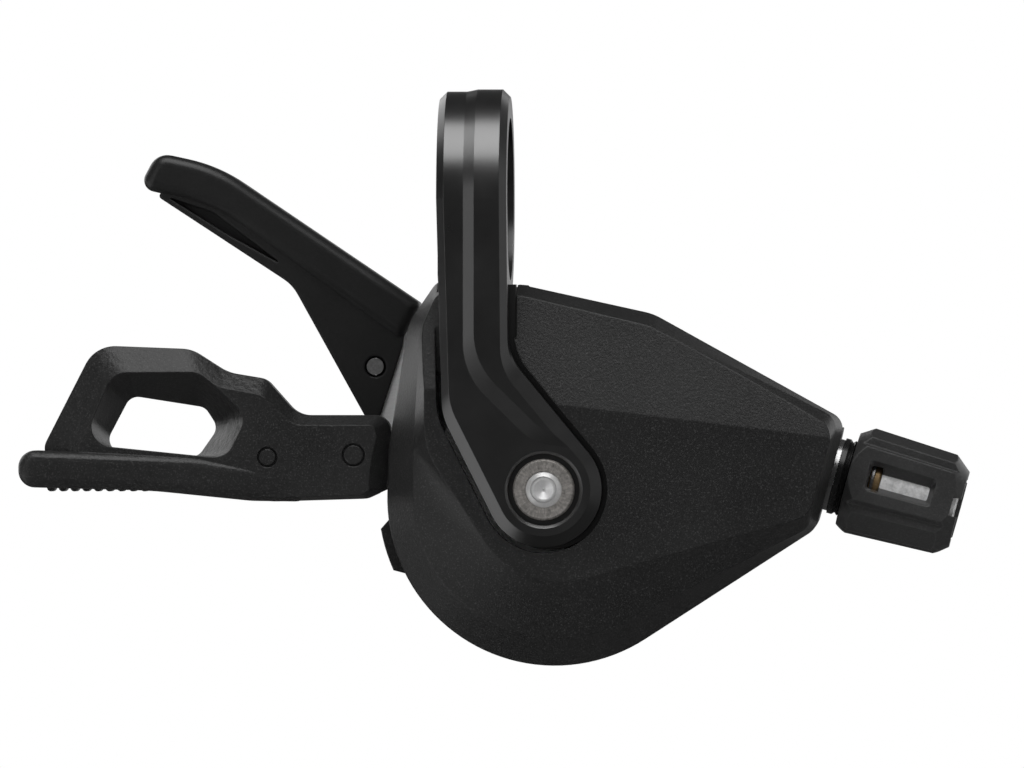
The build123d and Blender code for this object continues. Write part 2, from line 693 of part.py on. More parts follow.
# Front arm of the clamp: bevelled all round, with a raised right-hand strip and a pocket for the nut
with BuildPart() as front_arm:
    bevel = BAND_CHAMFER + BAND_STEP
    for depth, left_inset, right_inset, share in (
        (0.0, bevel, BAND_CHAMFER, 1.0),
        (BAND_CHAMFER, BAND_STEP, 0.0, BAND_STEP / bevel),
        (bevel, 0.0, 0.0, 0.0),
        (ARM_THICKNESS, 0.0, 0.0, 0.0),
    ):
        with BuildSketch(depth_plane(ARM_FRONT + depth)):
            arm_outline(left_inset, right_inset, share * BOSS_CHAMFER)
    loft(ruled=True)
    for level, spread in ((BAND_STEP, 0.0), (-BAND_STEP, 2.0)):
        with BuildSketch(depth_plane(ARM_FRONT + level)):
            step_outline(spread * (STEP_HEAD - STEP_FOOT))
    loft(ruled=True, mode=Mode.SUBTRACT)
    with BuildSketch(axle_plane(ARM_FRONT)):
        Circle(POCKET_RADIUS)
    extrude(amount=-POCKET_DEPTH, mode=Mode.SUBTRACT)
    with BuildSketch(axle_section()):
        with BuildLine():
            Polyline(
                (0, ARM_FRONT),
                (POCKET_RADIUS + POCKET_CHAMFER + BAND_STEP, ARM_FRONT),
                (POCKET_RADIUS, ARM_FRONT + POCKET_CHAMFER + BAND_STEP),
                (0, ARM_FRONT + POCKET_CHAMFER + BAND_STEP),
                close=True,
            )
        make_face()
    revolve(axis=AXLE_AXIS, mode=Mode.SUBTRACT)
    with BuildSketch(axle_plane(ARM_FRONT)):
        Circle(BOLT_HOLE_RADIUS)
    extrude(amount=-ARM_THICKNESS, mode=Mode.SUBTRACT)

# Clamp band: a stepped ring joined to both arms, bored for the bar and slit at the front
with BuildPart() as clamp_band:
    half = BAND_WIDTH / 2
    left_radius = BAND_RADIUS - BAND_STEP
    with BuildSketch(Plane.XY):
        with BuildLine():
            Polyline(
                (-half, BAR_RADIUS - BAND_WALL),
                (half, BAR_RADIUS - BAND_WALL),
                (half, BAND_RADIUS - BAND_CHAMFER),
                (half - BAND_CHAMFER, BAND_RADIUS),
                (STEP_HEAD, BAND_RADIUS),
                (STEP_FOOT, left_radius),
                (BAND_CHAMFER - half, left_radius),
                (-half, left_radius - BAND_CHAMFER),
                close=True,
            )
        make_face()
    revolve(axis=Axis.X)
    with BuildSketch(depth_plane(ARM_BACK)):
        with Locations((0, -BAND_RADIUS / 2)):
            Rectangle(2 * BAND_WIDTH, BAND_RADIUS)
    extrude(amount=ARM_THICKNESS, mode=Mode.SUBTRACT)
    add(front_arm.part)
    with BuildSketch(rear_arm_plane(REAR_ARM_BACK)):
        arm_outline()
        offset(amount=REAR_ARM_MARGIN, mode=Mode.REPLACE)
        with Locations((0, 0)):
            Rectangle(4 * BAND_WIDTH, -2 * REAR_ARM_TOP, mode=Mode.SUBTRACT)
        with Locations((-REAR_ARM_SHIFT, REAR_ARM_TOP)):
            Rectangle(BAND_WIDTH - 2 * BAND_CHAMFER, BAND_RADIUS)
    extrude(amount=REAR_ARM_THICKNESS)
    with BuildSketch(axle_plane(REAR_ARM_BACK)):
        Circle(BOLT_HOLE_RADIUS)
    extrude(amount=REAR_ARM_THICKNESS, mode=Mode.SUBTRACT)
    with BuildSketch(depth_plane(REAR_ARM_FRONT)):
        with Locations((0, -BAND_RADIUS / 2)):
            Rectangle(2 * BAND_WIDTH, BAND_RADIUS)
    extrude(amount=SLIT_WIDTH, mode=Mode.SUBTRACT)
    with BuildSketch(Plane.YZ.offset(-BAND_WIDTH)):
        Circle(BAR_RADIUS)
    extrude(amount=2 * BAND_WIDTH, mode=Mode.SUBTRACT)
save(clamp_band, "clamp_band")

# Round nut in the pocket of the front arm
with BuildPart() as clamp_nut:
    with BuildSketch(axle_plane(POCKET_FLOOR)):
        Circle(NUT_RADIUS)
        Circle(BOLT_RADIUS + SEAT_FIT, mode=Mode.SUBTRACT)
    extrude(amount=NUT_HEIGHT)
    chamfer(clamp_nut.faces().sort_by(Axis.Y)[0].edges().sort_by(SortBy.RADIUS)[-1], NUT_CHAMFER)
save(clamp_nut, "clamp_nut")

# Clamp bolt through the hollow axle, with a dished tip and its socket head at the back
BOLT_TIP = POCKET_FLOOR - NUT_HEIGHT - BOLT_PROUD
HEAD_FRONT = FLOOR_BACK - BOLT_HEAD_HEIGHT
with BuildPart() as clamp_bolt:
    with BuildSketch(axle_plane(HEAD_FRONT)):
        Circle(BOLT_RADIUS)
    extrude(amount=HEAD_FRONT - BOLT_TIP)
    chamfer(clamp_bolt.faces().sort_by(Axis.Y)[0].edges(), BOLT_TIP_CHAMFER)
    with BuildSketch(axle_plane(BOLT_TIP)):
        Circle(BOLT_GROOVE[1])
        Circle(BOLT_GROOVE[0], mode=Mode.SUBTRACT)
    extrude(amount=-BOLT_GROOVE_DEPTH, mode=Mode.SUBTRACT)
    with BuildSketch(axle_section()):
        with BuildLine():
            Polyline(
                (0, BOLT_TIP),
                (DISH_RADIUS, BOLT_TIP),
                (CENTRE_RADIUS, BOLT_TIP + DISH_DEPTH),
                (0, BOLT_TIP + CENTRE_DEPTH),
                close=True,
            )
        make_face()
    revolve(axis=AXLE_AXIS, mode=Mode.SUBTRACT)
    with BuildSketch(axle_plane(FLOOR_BACK)):
        Circle(BOLT_HEAD_RADIUS)
    extrude(amount=BOLT_HEAD_HEIGHT)
    with BuildSketch(axle_plane(FLOOR_BACK)):
        RegularPolygon(HEX_SOCKET / 2, 6, major_radius=False)
    extrude(amount=HEX_DEPTH, mode=Mode.SUBTRACT)
save(clamp_bolt, "clamp_bolt")

# Front cover: ruled from the parting line over two creases, with a tilted upper facet
with BuildPart() as cover_hollow:
    for depth, round_inset, inset, knee_inset, drop in (
        (COVER_RIM, 0.0, 0.0, 0.0, 0.0),
        (COVER_CREASE + COVER_WALL / 2, CREASE_ROUND_INSET, CREASE_INSET, CREASE_KNEE_INSET, 0.0),
        (COVER_FRONT + COVER_WALL, FRONT_ROUND_INSET, FRONT_INSET, FRONT_KNEE_INSET, FRONT_NOSE_DROP),
    ):
        with BuildSketch(depth_plane(depth)):
            cover_section(round_inset, inset, knee_inset, drop)
            offset(amount=-COVER_WALL, mode=Mode.REPLACE)
    loft(ruled=True)
    split(bisect_by=facet_plane(COVER_WALL), keep=Keep.BOTTOM)
    with BuildSketch(depth_plane(COVER_RIM)):
        with Locations((HOUSING_STEP_X, HOUSING_TOP - HOUSING_WALL)):
            Rectangle(ROUND_RADIUS * 2, ROUND_RADIUS, align=(Align.MAX, Align.MIN))
    extrude(amount=COVER_RIM - COVER_FRONT, mode=Mode.SUBTRACT)
    with BuildSketch(depth_plane(CHASSIS_FRONT)):
        with Locations(*SCREW_POINTS):
            Circle(POST_RADIUS)
    extrude(amount=CHASSIS_FRONT - COVER_FRONT, mode=Mode.SUBTRACT)

with BuildPart() as front_cover:
    for depth, round_inset, inset, knee_inset, drop in (
        (COVER_RIM, 0.0, 0.0, 0.0, 0.0),
        (COVER_CREASE, CREASE_ROUND_INSET, CREASE_INSET, CREASE_KNEE_INSET, 0.0),
        (COVER_FRONT, FRONT_ROUND_INSET, FRONT_INSET, FRONT_KNEE_INSET, FRONT_NOSE_DROP),
    ):
        with BuildSketch(depth_plane(depth)):
            cover_section(round_inset, inset, knee_inset, drop)
    loft(ruled=True)
    split(bisect_by=facet_plane(0), keep=Keep.BOTTOM)
    add(cover_hollow.part, mode=Mode.SUBTRACT)
    with BuildSketch(depth_plane(COVER_RIM)):
        with Locations(*SCREW_POINTS):
            Circle(SCREW_RADIUS)
    extrude(amount=SCREW_BITE + CHASSIS_THICKNESS, mode=Mode.SUBTRACT)
    with BuildSketch(depth_plane(ARM_BACK + POCKET_GAP)):
        arm_outline()
        offset(amount=CHANNEL_GAP, mode=Mode.REPLACE)
    extrude(amount=ARM_THICKNESS + POCKET_GAP, mode=Mode.SUBTRACT)
    with BuildSketch(rear_arm_plane(COVER_RIM)):
        arm_outline()
        offset(amount=REAR_ARM_MARGIN + POCKET_GAP, mode=Mode.REPLACE)
    extrude(amount=COVER_RIM - ARM_BACK, mode=Mode.SUBTRACT)
    with BuildSketch(Plane.YZ):
        Circle(BAND_RADIUS + POCKET_GAP)
    extrude(amount=BAND_WIDTH / 2 + POCKET_GAP, both=True, mode=Mode.SUBTRACT)
save(front_cover, "front_cover")

# Chassis plate that the axle and the holding pawl's pin stand on
with BuildPart() as chassis_plate:
    with BuildSketch(depth_plane(CHASSIS_BACK)):
        with Locations((AXLE_X, AXLE_Z)):
            Circle(CHASSIS_RADIUS)
        with Locations(*SCREW_POINTS):
            Circle(CHASSIS_TAB)
        make_hull()
        with Locations((AXLE_X, AXLE_Z)):
            Circle(AXLE_RADIUS + SEAT_FIT, mode=Mode.SUBTRACT)
        with Locations(*SCREW_POINTS):
            Circle(SCREW_RADIUS + SIDE_GAP, mode=Mode.SUBTRACT)
    extrude(amount=CHASSIS_THICKNESS)
    with BuildSketch(axle_plane(CHASSIS_BACK)):
        with Locations(polar(*POSITIONING_PIN)):
            Circle(PAWL_PIN_RADIUS + SEAT_FIT)
    extrude(amount=CHASSIS_THICKNESS, mode=Mode.SUBTRACT)
save(chassis_plate, "chassis_plate")

# Mid housing: the wall round the mechanism, with the adjuster's nose, the cable port and
# the ledge that stops the finger lever
with BuildPart() as mid_housing:
    with BuildSketch(depth_plane(HOUSING_SPLIT)):
        housing_section()
        offset(amount=-HOUSING_INSET, mode=Mode.REPLACE)
    extrude(amount=HOUSING_SPLIT - COVER_RIM)
    with BuildSketch(depth_plane(HOUSING_SPLIT)):
        housing_section()
        offset(amount=-HOUSING_INSET - HOUSING_WALL, mode=Mode.REPLACE)
    extrude(amount=HOUSING_SPLIT - COVER_RIM, mode=Mode.SUBTRACT)
    with BuildSketch(depth_plane(HOUSING_SPLIT)):
        screw_posts()
    extrude(amount=HOUSING_SPLIT - COVER_RIM)
    with BuildSketch(adjuster_plane(-HOUSING_INSET)):
        Circle(SOCKET_BOSS)
    extrude(amount=-SOCKET_INSIDE)
    with BuildSketch(adjuster_plane(-PORT_REACH)):
        Circle(PORT_BOSS_RADIUS)
    extrude(amount=PLUG_LENGTH)
    split(bisect_by=Plane.XZ.offset(-HOUSING_SPLIT), keep=Keep.TOP)
    with BuildSketch(adjuster_plane(0)):
        Circle(SOCKET_RADIUS + SEAT_FIT)
    extrude(amount=-2 * SOCKET_INSIDE, mode=Mode.SUBTRACT)
    with BuildSketch(adjuster_plane(PLUG_LENGTH - PORT_REACH)):
        Circle(PLUG_RADIUS + SEAT_FIT)
    extrude(amount=-3 * PLUG_LENGTH, mode=Mode.SUBTRACT)
    with BuildSketch(depth_plane(HOUSING_SPLIT)):
        with Locations(*SCREW_POINTS):
            Circle(SCREW_RADIUS + SIDE_GAP)
    extrude(amount=HOUSING_SPLIT - COVER_RIM, mode=Mode.SUBTRACT)
    ledge_back = Vector(ROUND_X, RELEASE_BACK + LEDGE_MARGIN, ROUND_Z)
    with BuildSketch(Plane(ledge_back, x_dir=(1, 0, 0), z_dir=(0, -1, 0))):
        ledge_face()
    extrude(amount=PLATE_THICKNESS + 2 * LEDGE_MARGIN)
    with BuildSketch(axle_plane(RELEASE_BACK + SIDE_GAP)):
        lever_notch(RELEASE_NOTCH_START, RELEASE_NOTCH_END)
    extrude(amount=RELEASE_BACK + SIDE_GAP - COVER_RIM, mode=Mode.SUBTRACT)
save(mid_housing, "mid_housing")

# Rear cover: a tapered tray with a notch for the thumb lever's steel arm
with BuildPart() as rear_cover:
    for depth, inset in (
        (HOUSING_SPLIT, HOUSING_INSET),
        (FLOOR_BACK - BACK_CHAMFER, HOUSING_BACK_INSET),
        (FLOOR_BACK, HOUSING_BACK_INSET + BACK_CHAMFER),
    ):
        with BuildSketch(depth_plane(depth)):
            housing_section()
            offset(amount=-inset, mode=Mode.REPLACE)
    loft(ruled=True)
    with BuildSketch(depth_plane(FLOOR_FRONT)):
        housing_section()
        offset(amount=-HOUSING_BACK_INSET - HOUSING_WALL, mode=Mode.REPLACE)
    extrude(amount=FLOOR_FRONT - HOUSING_SPLIT, mode=Mode.SUBTRACT)
    with BuildSketch(depth_plane(FLOOR_FRONT)):
        screw_posts()
    extrude(amount=FLOOR_FRONT - HOUSING_SPLIT)
    with BuildSketch(axle_plane(MAIN_BACK + SIDE_GAP)):
        lever_notch(MAIN_NOTCH_START, MAIN_NOTCH_END)
    extrude(amount=MAIN_BACK + SIDE_GAP - HOUSING_SPLIT, mode=Mode.SUBTRACT)
    with BuildSketch(axle_plane(FLOOR_BACK)):
        Circle(AXLE_HEAD_RADIUS + SEAT_FIT)
    extrude(amount=FLOOR_BACK - HOUSING_SPLIT, mode=Mode.SUBTRACT)
    with BuildSketch(depth_plane(FLOOR_BACK)):
        with Locations(*SCREW_POINTS):
            Circle(SCREW_RADIUS + SIDE_GAP)
    extrude(amount=FLOOR_BACK - HOUSING_SPLIT, mode=Mode.SUBTRACT)
    with BuildSketch(depth_plane(FLOOR_BACK)):
        with Locations(*SCREW_POINTS):
            Circle(SCREW_HEAD_RADIUS + SIDE_GAP)
    extrude(amount=SCREW_HEAD_HEIGHT + SIDE_GAP, mode=Mode.SUBTRACT)
save(rear_cover, "rear_cover")

# Three screws from the rear cover through the posts into the front cover
SCREW_SEAT = FLOOR_BACK - SCREW_HEAD_HEIGHT - SIDE_GAP
with BuildPart() as cover_screws:
    with BuildSketch(depth_plane(SCREW_SEAT)):
        with Locations(*SCREW_POINTS):
            Circle(SCREW_RADIUS - SEAT_FIT)
    extrude(amount=SCREW_SEAT - CHASSIS_FRONT + SCREW_BITE)
    with BuildSketch(depth_plane(SCREW_SEAT)):
        with Locations(*SCREW_POINTS):
            Circle(SCREW_HEAD_RADIUS)
    extrude(amount=-SCREW_HEAD_HEIGHT)
    with BuildSketch(depth_plane(SCREW_SEAT + SCREW_HEAD_HEIGHT)):
        with Locations(*SCREW_POINTS):
            Rectangle(SCREW_CROSS, SCREW_CROSS_WIDTH)
            Rectangle(SCREW_CROSS_WIDTH, SCREW_CROSS)
    extrude(amount=SCREW_HEAD_HEIGHT / 2, mode=Mode.SUBTRACT)
save(cover_screws, "cover_screws")

# Hollow axle with a head that seats in the rear cover and takes the bolt's head
with BuildPart() as main_axle:
    with BuildSketch(axle_plane(FLOOR_BACK)):
        Circle(AXLE_RADIUS)
    extrude(amount=FLOOR_BACK - CHASSIS_FRONT)
    with BuildSketch(axle_plane(FLOOR_BACK)):
        Circle(AXLE_HEAD_RADIUS)
    extrude(amount=AXLE_HEAD_HEIGHT)
    with BuildSketch(axle_plane(FLOOR_BACK)):
        Circle(BOLT_HEAD_RADIUS + SIDE_GAP / 2)
    extrude(amount=BOLT_HEAD_HEIGHT, mode=Mode.SUBTRACT)
    with BuildSketch(axle_plane(FLOOR_BACK)):
        Circle(BOLT_HOLE_RADIUS)
    extrude(amount=FLOOR_BACK - CHASSIS_FRONT, mode=Mode.SUBTRACT)
save(main_axle, "main_axle")

# Washers on the axle between the layers
with BuildPart() as spacer_washers:
    for front, back in ((RELEASE_BACK, POSITIONING_FRONT), (FEED_BACK, MAIN_FRONT)):
        with BuildSketch(axle_plane(back - SIDE_GAP / 3)):
            Circle(SPACER_RADIUS)
            Circle(AXLE_RADIUS + SEAT_FIT, mode=Mode.SUBTRACT)
        extrude(amount=back - front - 2 * SIDE_GAP / 3)
save(spacer_washers, "spacer_washers")

# Flat return springs of the two levers and of the drum
with BuildPart() as release_return_spring:
    with BuildSketch(axle_plane(RELEASE_SPRING_FRONT + RELEASE_SPRING_WIDTH)):
        spiral_strip(AXLE_RADIUS + SIDE_GAP, RELEASE_HUB, SPRING_TURNS)
    extrude(amount=RELEASE_SPRING_WIDTH)
save(release_return_spring, "release_return_spring")

with BuildPart() as main_return_spring:
    with BuildSketch(axle_plane(MAIN_SPRING_BACK)):
        spiral_strip(AXLE_HEAD_RADIUS + SIDE_GAP, MAIN_HUB, SPRING_TURNS)
    extrude(amount=MAIN_SPRING_WIDTH)
save(main_return_spring, "main_return_spring")

with BuildPart() as drum_spring:
    with BuildSketch(axle_plane(DRUM_FRONT + SPRING_WELL_DEPTH - LAYER_GAP)):
        spiral_strip(SPRING_WELL_INNER + SIDE_GAP, SPRING_WELL_OUTER - SIDE_GAP, SPRING_TURNS)
    extrude(amount=SPRING_WELL_DEPTH - 2 * LAYER_GAP)
save(drum_spring, "drum_spring")

# Cable drum with its groove, the well for its spring and the pocket for the cable's end
with BuildPart() as cable_drum:
    with BuildSketch(axle_section()):
        with BuildLine():
            Polyline(
                (AXLE_RADIUS + RUN_FIT, DRUM_FRONT),
                (SPRING_WELL_INNER, DRUM_FRONT),
                (SPRING_WELL_INNER, DRUM_FRONT + SPRING_WELL_DEPTH),
                (SPRING_WELL_OUTER, DRUM_FRONT + SPRING_WELL_DEPTH),
                (SPRING_WELL_OUTER, DRUM_FRONT),
                (FLANGE_RADIUS, DRUM_FRONT),
                (FLANGE_RADIUS, DRUM_FRONT + FLANGE_EDGE),
                (CABLE_RADIUS - GROOVE_DEPTH, DRUM_MIDDLE - GROOVE_WIDTH / 2),
                (CABLE_RADIUS - GROOVE_DEPTH, DRUM_MIDDLE + GROOVE_WIDTH / 2),
                (FLANGE_RADIUS, DRUM_BACK - FLANGE_EDGE),
                (FLANGE_RADIUS, DRUM_BACK),
                (AXLE_RADIUS + RUN_FIT, DRUM_BACK),
                close=True,
            )
        make_face()
    revolve(axis=AXLE_AXIS)
    with BuildSketch(axle_plane(DRUM_BACK)):
        with Locations(polar(CABLE_RADIUS - GROOVE_DEPTH, NIPPLE_ANGLE)):
            Circle(NIPPLE_RADIUS)
    extrude(amount=NIPPLE_DEPTH, mode=Mode.SUBTRACT)
save(cable_drum, "cable_drum")

# Toothed plates on both faces of the drum
with BuildPart() as positioning_ratchet:
    with BuildSketch(axle_plane(DRUM_FRONT)):
        ratchet_face(POSITIONING_START, 0)
    extrude(amount=RATCHET_THICKNESS)
save(positioning_ratchet, "positioning_ratchet")

with BuildPart() as feed_ratchet:
    with BuildSketch(axle_plane(FEED_BACK)):
        ratchet_face(FEED_START, 1)
    extrude(amount=RATCHET_THICKNESS)
save(feed_ratchet, "feed_ratchet")

# Holding pawl with its pin on the chassis and its spring
with BuildPart() as positioning_pawl:
    with BuildSketch(axle_plane(DRUM_FRONT)):
        pawl_face(POSITIONING_PIN, PAWL_TURN)
    extrude(amount=RATCHET_THICKNESS)
save(positioning_pawl, "positioning_pawl")

with BuildPart() as pawl_pin:
    with BuildSketch(axle_plane(DRUM_FRONT + SIDE_GAP)):
        with Locations(polar(*POSITIONING_PIN)):
            Circle(PAWL_PIN_RADIUS)
    extrude(amount=DRUM_FRONT + SIDE_GAP - CHASSIS_FRONT)
save(pawl_pin, "pawl_pin")

with BuildPart() as positioning_pawl_spring:
    with BuildSketch(axle_plane(POSITIONING_FRONT - SIDE_GAP)):
        pawl_spring_face(POSITIONING_PIN)
    extrude(amount=PAWL_SPRING_WIDTH)
save(positioning_pawl_spring, "positioning_pawl_spring")

# Driving pawl with its pin on the main lever and its spring
with BuildPart() as drive_pawl:
    with BuildSketch(axle_plane(FEED_BACK)):
        pawl_face(DRIVE_PIN, PAWL_TURN)
    extrude(amount=RATCHET_THICKNESS)
save(drive_pawl, "drive_pawl")

DRIVE_PIN_FRONT = DRUM_BACK - PAWL_SPRING_WIDTH - 2 * SIDE_GAP
with BuildPart() as drive_pawl_pin:
    with BuildSketch(axle_plane(MAIN_BACK)):
        with Locations(polar(*DRIVE_PIN)):
            Circle(PAWL_PIN_RADIUS)
    extrude(amount=MAIN_BACK - DRIVE_PIN_FRONT)
save(drive_pawl_pin, "drive_pawl_pin")

with BuildPart() as drive_pawl_spring:
    with BuildSketch(axle_plane(DRUM_BACK - SIDE_GAP)):
        pawl_spring_face(DRIVE_PIN)
    extrude(amount=PAWL_SPRING_WIDTH)
save(drive_pawl_spring, "drive_pawl_spring")

# Steel arm of the main lever, with a lobe for the driving pawl
with BuildPart() as main_lever_plate:
    with BuildSketch(axle_plane(MAIN_BACK)):
        Circle(MAIN_HUB)
        with Locations(polar(*DRIVE_PIN)):
            Circle(PAWL_EYE_RADIUS)
        make_hull()
        with BuildLine():
            Polyline((0, MAIN_HUB), *MAIN_ARM, (0, -MAIN_HUB), close=True)
        make_face()
        Circle(AXLE_RADIUS + RUN_FIT, mode=Mode.SUBTRACT)
        with Locations(polar(*DRIVE_PIN)):
            Circle(PAWL_PIN_RADIUS + SEAT_FIT, mode=Mode.SUBTRACT)
        with Locations(RIVET_POINT):
            Circle(RIVET_RADIUS + SEAT_FIT, mode=Mode.SUBTRACT)
    extrude(amount=MAIN_PLATE_THICKNESS)
save(main_lever_plate, "main_lever_plate")

# Thumb lever: a thick rounded arm with a thin grooved web below it, moulded over the steel arm
with BuildPart() as thumb_lever:
    with BuildSketch(axle_plane(THUMB_FRONT + THUMB_DEPTH)):
        filleted_face(THUMB_ARM, THUMB_ARM_FILLETS)
    extrude(amount=THUMB_DEPTH)
    arm_faces = thumb_lever.faces().sort_by(Axis.Y)
    fillet(arm_faces[0].edges() + arm_faces[-1].edges(), THUMB_EDGE)
    with BuildSketch(axle_plane(THUMB_FRONT + WEB_INSET + WEB_THICKNESS)):
        filleted_face(THUMB_WEB, THUMB_WEB_FILLETS)
    extrude(amount=WEB_THICKNESS)
    with BuildSketch(axle_plane(THUMB_FRONT + WEB_INSET)):
        filleted_face(THUMB_GROOVE, THUMB_GROOVE_FILLETS)
    extrude(amount=-THUMB_GROOVE_DEPTH, mode=Mode.SUBTRACT)
    add(main_lever_plate.part, mode=Mode.SUBTRACT)
    with BuildSketch(axle_plane(THUMB_FRONT + THUMB_DEPTH)):
        with Locations(RIVET_POINT):
            Circle(RIVET_RADIUS + SEAT_FIT)
    extrude(amount=THUMB_DEPTH, mode=Mode.SUBTRACT)
    with BuildSketch(axle_plane(THUMB_FRONT + WEB_INSET)):
        with Locations(RIVET_POINT):
            Circle(RIVET_RADIUS + RIVET_RING)
    extrude(amount=-RIVET_RING_DEPTH, mode=Mode.SUBTRACT)
save(thumb_lever, "thumb_lever")

# Rivet through the web and the steel arm
with BuildPart() as lever_rivet:
    with BuildSketch(axle_plane(THUMB_FRONT + WEB_INSET + WEB_THICKNESS + RIVET_PROUD)):
        with Locations(RIVET_POINT):
            Circle(RIVET_RADIUS)
    extrude(amount=WEB_THICKNESS + 2 * RIVET_PROUD)
save(lever_rivet, "lever_rivet")

# Steel arm of the release lever
with BuildPart() as release_lever_plate:
    with BuildSketch(axle_plane(RELEASE_BACK)):
        Circle(RELEASE_HUB)
        with BuildLine():
            Polyline(
                (0, RELEASE_HUB),
                (-FINGER_ROOT_BACK, RELEASE_ARM_TOP),
                (RELEASE_ARM_END, RELEASE_ARM_TOP),
                (RELEASE_ARM_END, RELEASE_ARM_BOTTOM),
                (-FINGER_ROOT_BACK, RELEASE_ARM_BOTTOM),
                (0, -RELEASE_HUB),
                close=True,
            )
        make_face()
        Circle(AXLE_RADIUS + RUN_FIT, mode=Mode.SUBTRACT)
    extrude(amount=PLATE_THICKNESS)
save(release_lever_plate, "release_lever_plate")

# Rounded paddle along the lower edge of the finger lever, thinner towards the root, ribbed for grip
with BuildPart() as finger_paddle:
    with BuildSketch(axle_plane(PADDLE_FRONT + PADDLE_DEPTH)):
        filleted_face(PADDLE, PADDLE_FILLETS)
    extrude(amount=PADDLE_DEPTH)
    tip_x = PADDLE[0][0]
    root_x = PADDLE[2][0]
    for tip_y, root_y, facing in (
        (PADDLE_FRONT, FINGER_FRONT + PADDLE_SINK, -1),
        (PADDLE_FRONT + PADDLE_DEPTH, FINGER_FRONT + FINGER_DEPTH - PADDLE_SINK, 1),
    ):
        outwards = Vector(tip_y - root_y, root_x - tip_x) * facing
        split(bisect_by=Plane((AXLE_X + tip_x, tip_y, AXLE_Z), z_dir=outwards), keep=Keep.BOTTOM)
    paddle_sides = finger_paddle.faces().sort_by(Axis.Y)
    fillet(paddle_sides[0].edges() + paddle_sides[-1].edges(), PADDLE_EDGE)
    with BuildSketch(axle_plane(PADDLE_FRONT + PADDLE_DEPTH - 2 * PADDLE_EDGE)):
        with Locations(*[(RIB_START + rib * RIB_PITCH, RIB_DROP) for rib in range(RIB_COUNT)]):
            Circle(RIB_RADIUS)
    extrude(amount=PADDLE_DEPTH - 4 * PADDLE_EDGE)

# Finger lever: a plate that opens into a loop, with the paddle along its lower edge
with BuildPart() as finger_lever:
    with BuildSketch(axle_plane(FINGER_FRONT)):
        filleted_face(FINGER_FACE, FINGER_FACE_FILLETS)
    for depth in (FINGER_BEVEL_DEPTH, FINGER_DEPTH):
        with BuildSketch(axle_plane(FINGER_FRONT + depth)):
            filleted_face(FINGER_OUTLINE, FINGER_FILLETS)
    loft(ruled=True)
    with BuildSketch(axle_plane(FINGER_FRONT)):
        filleted_face(LOOP_NEAR, [LOOP_NEAR_FILLET] * len(LOOP_NEAR))
    with BuildSketch(axle_plane(FINGER_FRONT + FINGER_DEPTH)):
        filleted_face(LOOP_FAR, [LOOP_FAR_FILLET] * len(LOOP_FAR))
    loft(ruled=True, mode=Mode.SUBTRACT)
    with BuildSketch(axle_section()):
        with BuildLine():
            Polyline(
                (0, FINGER_FRONT),
                (FINGER_ROOT_FRONT, FINGER_FRONT),
                (FINGER_ROOT_INSIDE, FINGER_FRONT + FINGER_ROOT_DEPTH),
                (FINGER_ROOT_INSIDE, RELEASE_BACK),
                (FINGER_ROOT_BACK, RELEASE_BACK),
                (FINGER_ROOT_BACK, FINGER_FRONT + FINGER_DEPTH),
                (0, FINGER_FRONT + FINGER_DEPTH),
                close=True,
            )
        make_face()
    revolve(axis=AXLE_AXIS, mode=Mode.SUBTRACT)
    for x, z, radius in DIMPLES:
        with BuildSketch(axle_plane(FINGER_FRONT)):
            with Locations((x, z)):
                Circle(radius)
                Circle(radius - DIMPLE_RING, mode=Mode.SUBTRACT)
        extrude(amount=-DIMPLE_DEPTH, mode=Mode.SUBTRACT)
    add(finger_paddle.part)
    add(release_lever_plate.part, mode=Mode.SUBTRACT)
save(finger_lever, "finger_lever")

# Threaded socket in the nose, with its bright seat washer
with BuildPart() as adjuster_socket:
    with BuildSketch(adjuster_plane(-SOCKET_INSIDE)):
        Circle(SOCKET_RADIUS)
        Circle(STEM_BORE_RADIUS, mode=Mode.SUBTRACT)
    extrude(amount=SOCKET_INSIDE + SOCKET_OUTSIDE)
save(adjuster_socket, "adjuster_socket")

with BuildPart() as seat_washer:
    with BuildSketch(adjuster_plane(-HOUSING_INSET)):
        Circle(WASHER_RADIUS)
        Circle(SOCKET_RADIUS + SEAT_FIT, mode=Mode.SUBTRACT)
    extrude(amount=WASHER_THICKNESS)
save(seat_washer, "seat_washer")

# Grooved detent ring that turns with the knob and stays on the washer
with BuildPart() as detent_ring:
    with BuildSketch(adjuster_section()):
        with BuildLine():
            Polyline(
                (SOCKET_RADIUS + RUN_FIT, DETENT_START),
                (DETENT_RADIUS, DETENT_START),
                *[
                    (DETENT_RADIUS - DETENT_GROOVE * (step % 2), DETENT_START + DETENT_GROOVE * step)
                    for step in range(2, DETENT_STEPS)
                ],
                (DETENT_RADIUS, DETENT_END),
                (SOCKET_RADIUS + RUN_FIT, DETENT_END),
                close=True,
            )
        make_face()
    revolve(axis=ADJUSTER_AXIS)
save(detent_ring, "detent_ring")

# Short coil that presses the detent ring on its seat
with BuildPart() as adjuster_spring:
    coil_start = NOSE + CABLE_WAY * (DETENT_END + SPRING_STRIP)
    coil_height = SKIRT_END - DETENT_END - 2 * SPRING_STRIP
    with BuildLine():
        coil = Helix(
            coil_height / COIL_TURNS,
            coil_height,
            ADJUSTER_SPRING_RADIUS,
            center=coil_start,
            direction=CABLE_WAY,
        )
    with BuildSketch(Plane(coil @ 0, z_dir=coil % 0)):
        Rectangle(SPRING_STRIP, SPRING_STRIP)
    sweep(path=coil.edges(), is_frenet=True)
save(adjuster_spring, "adjuster_spring")

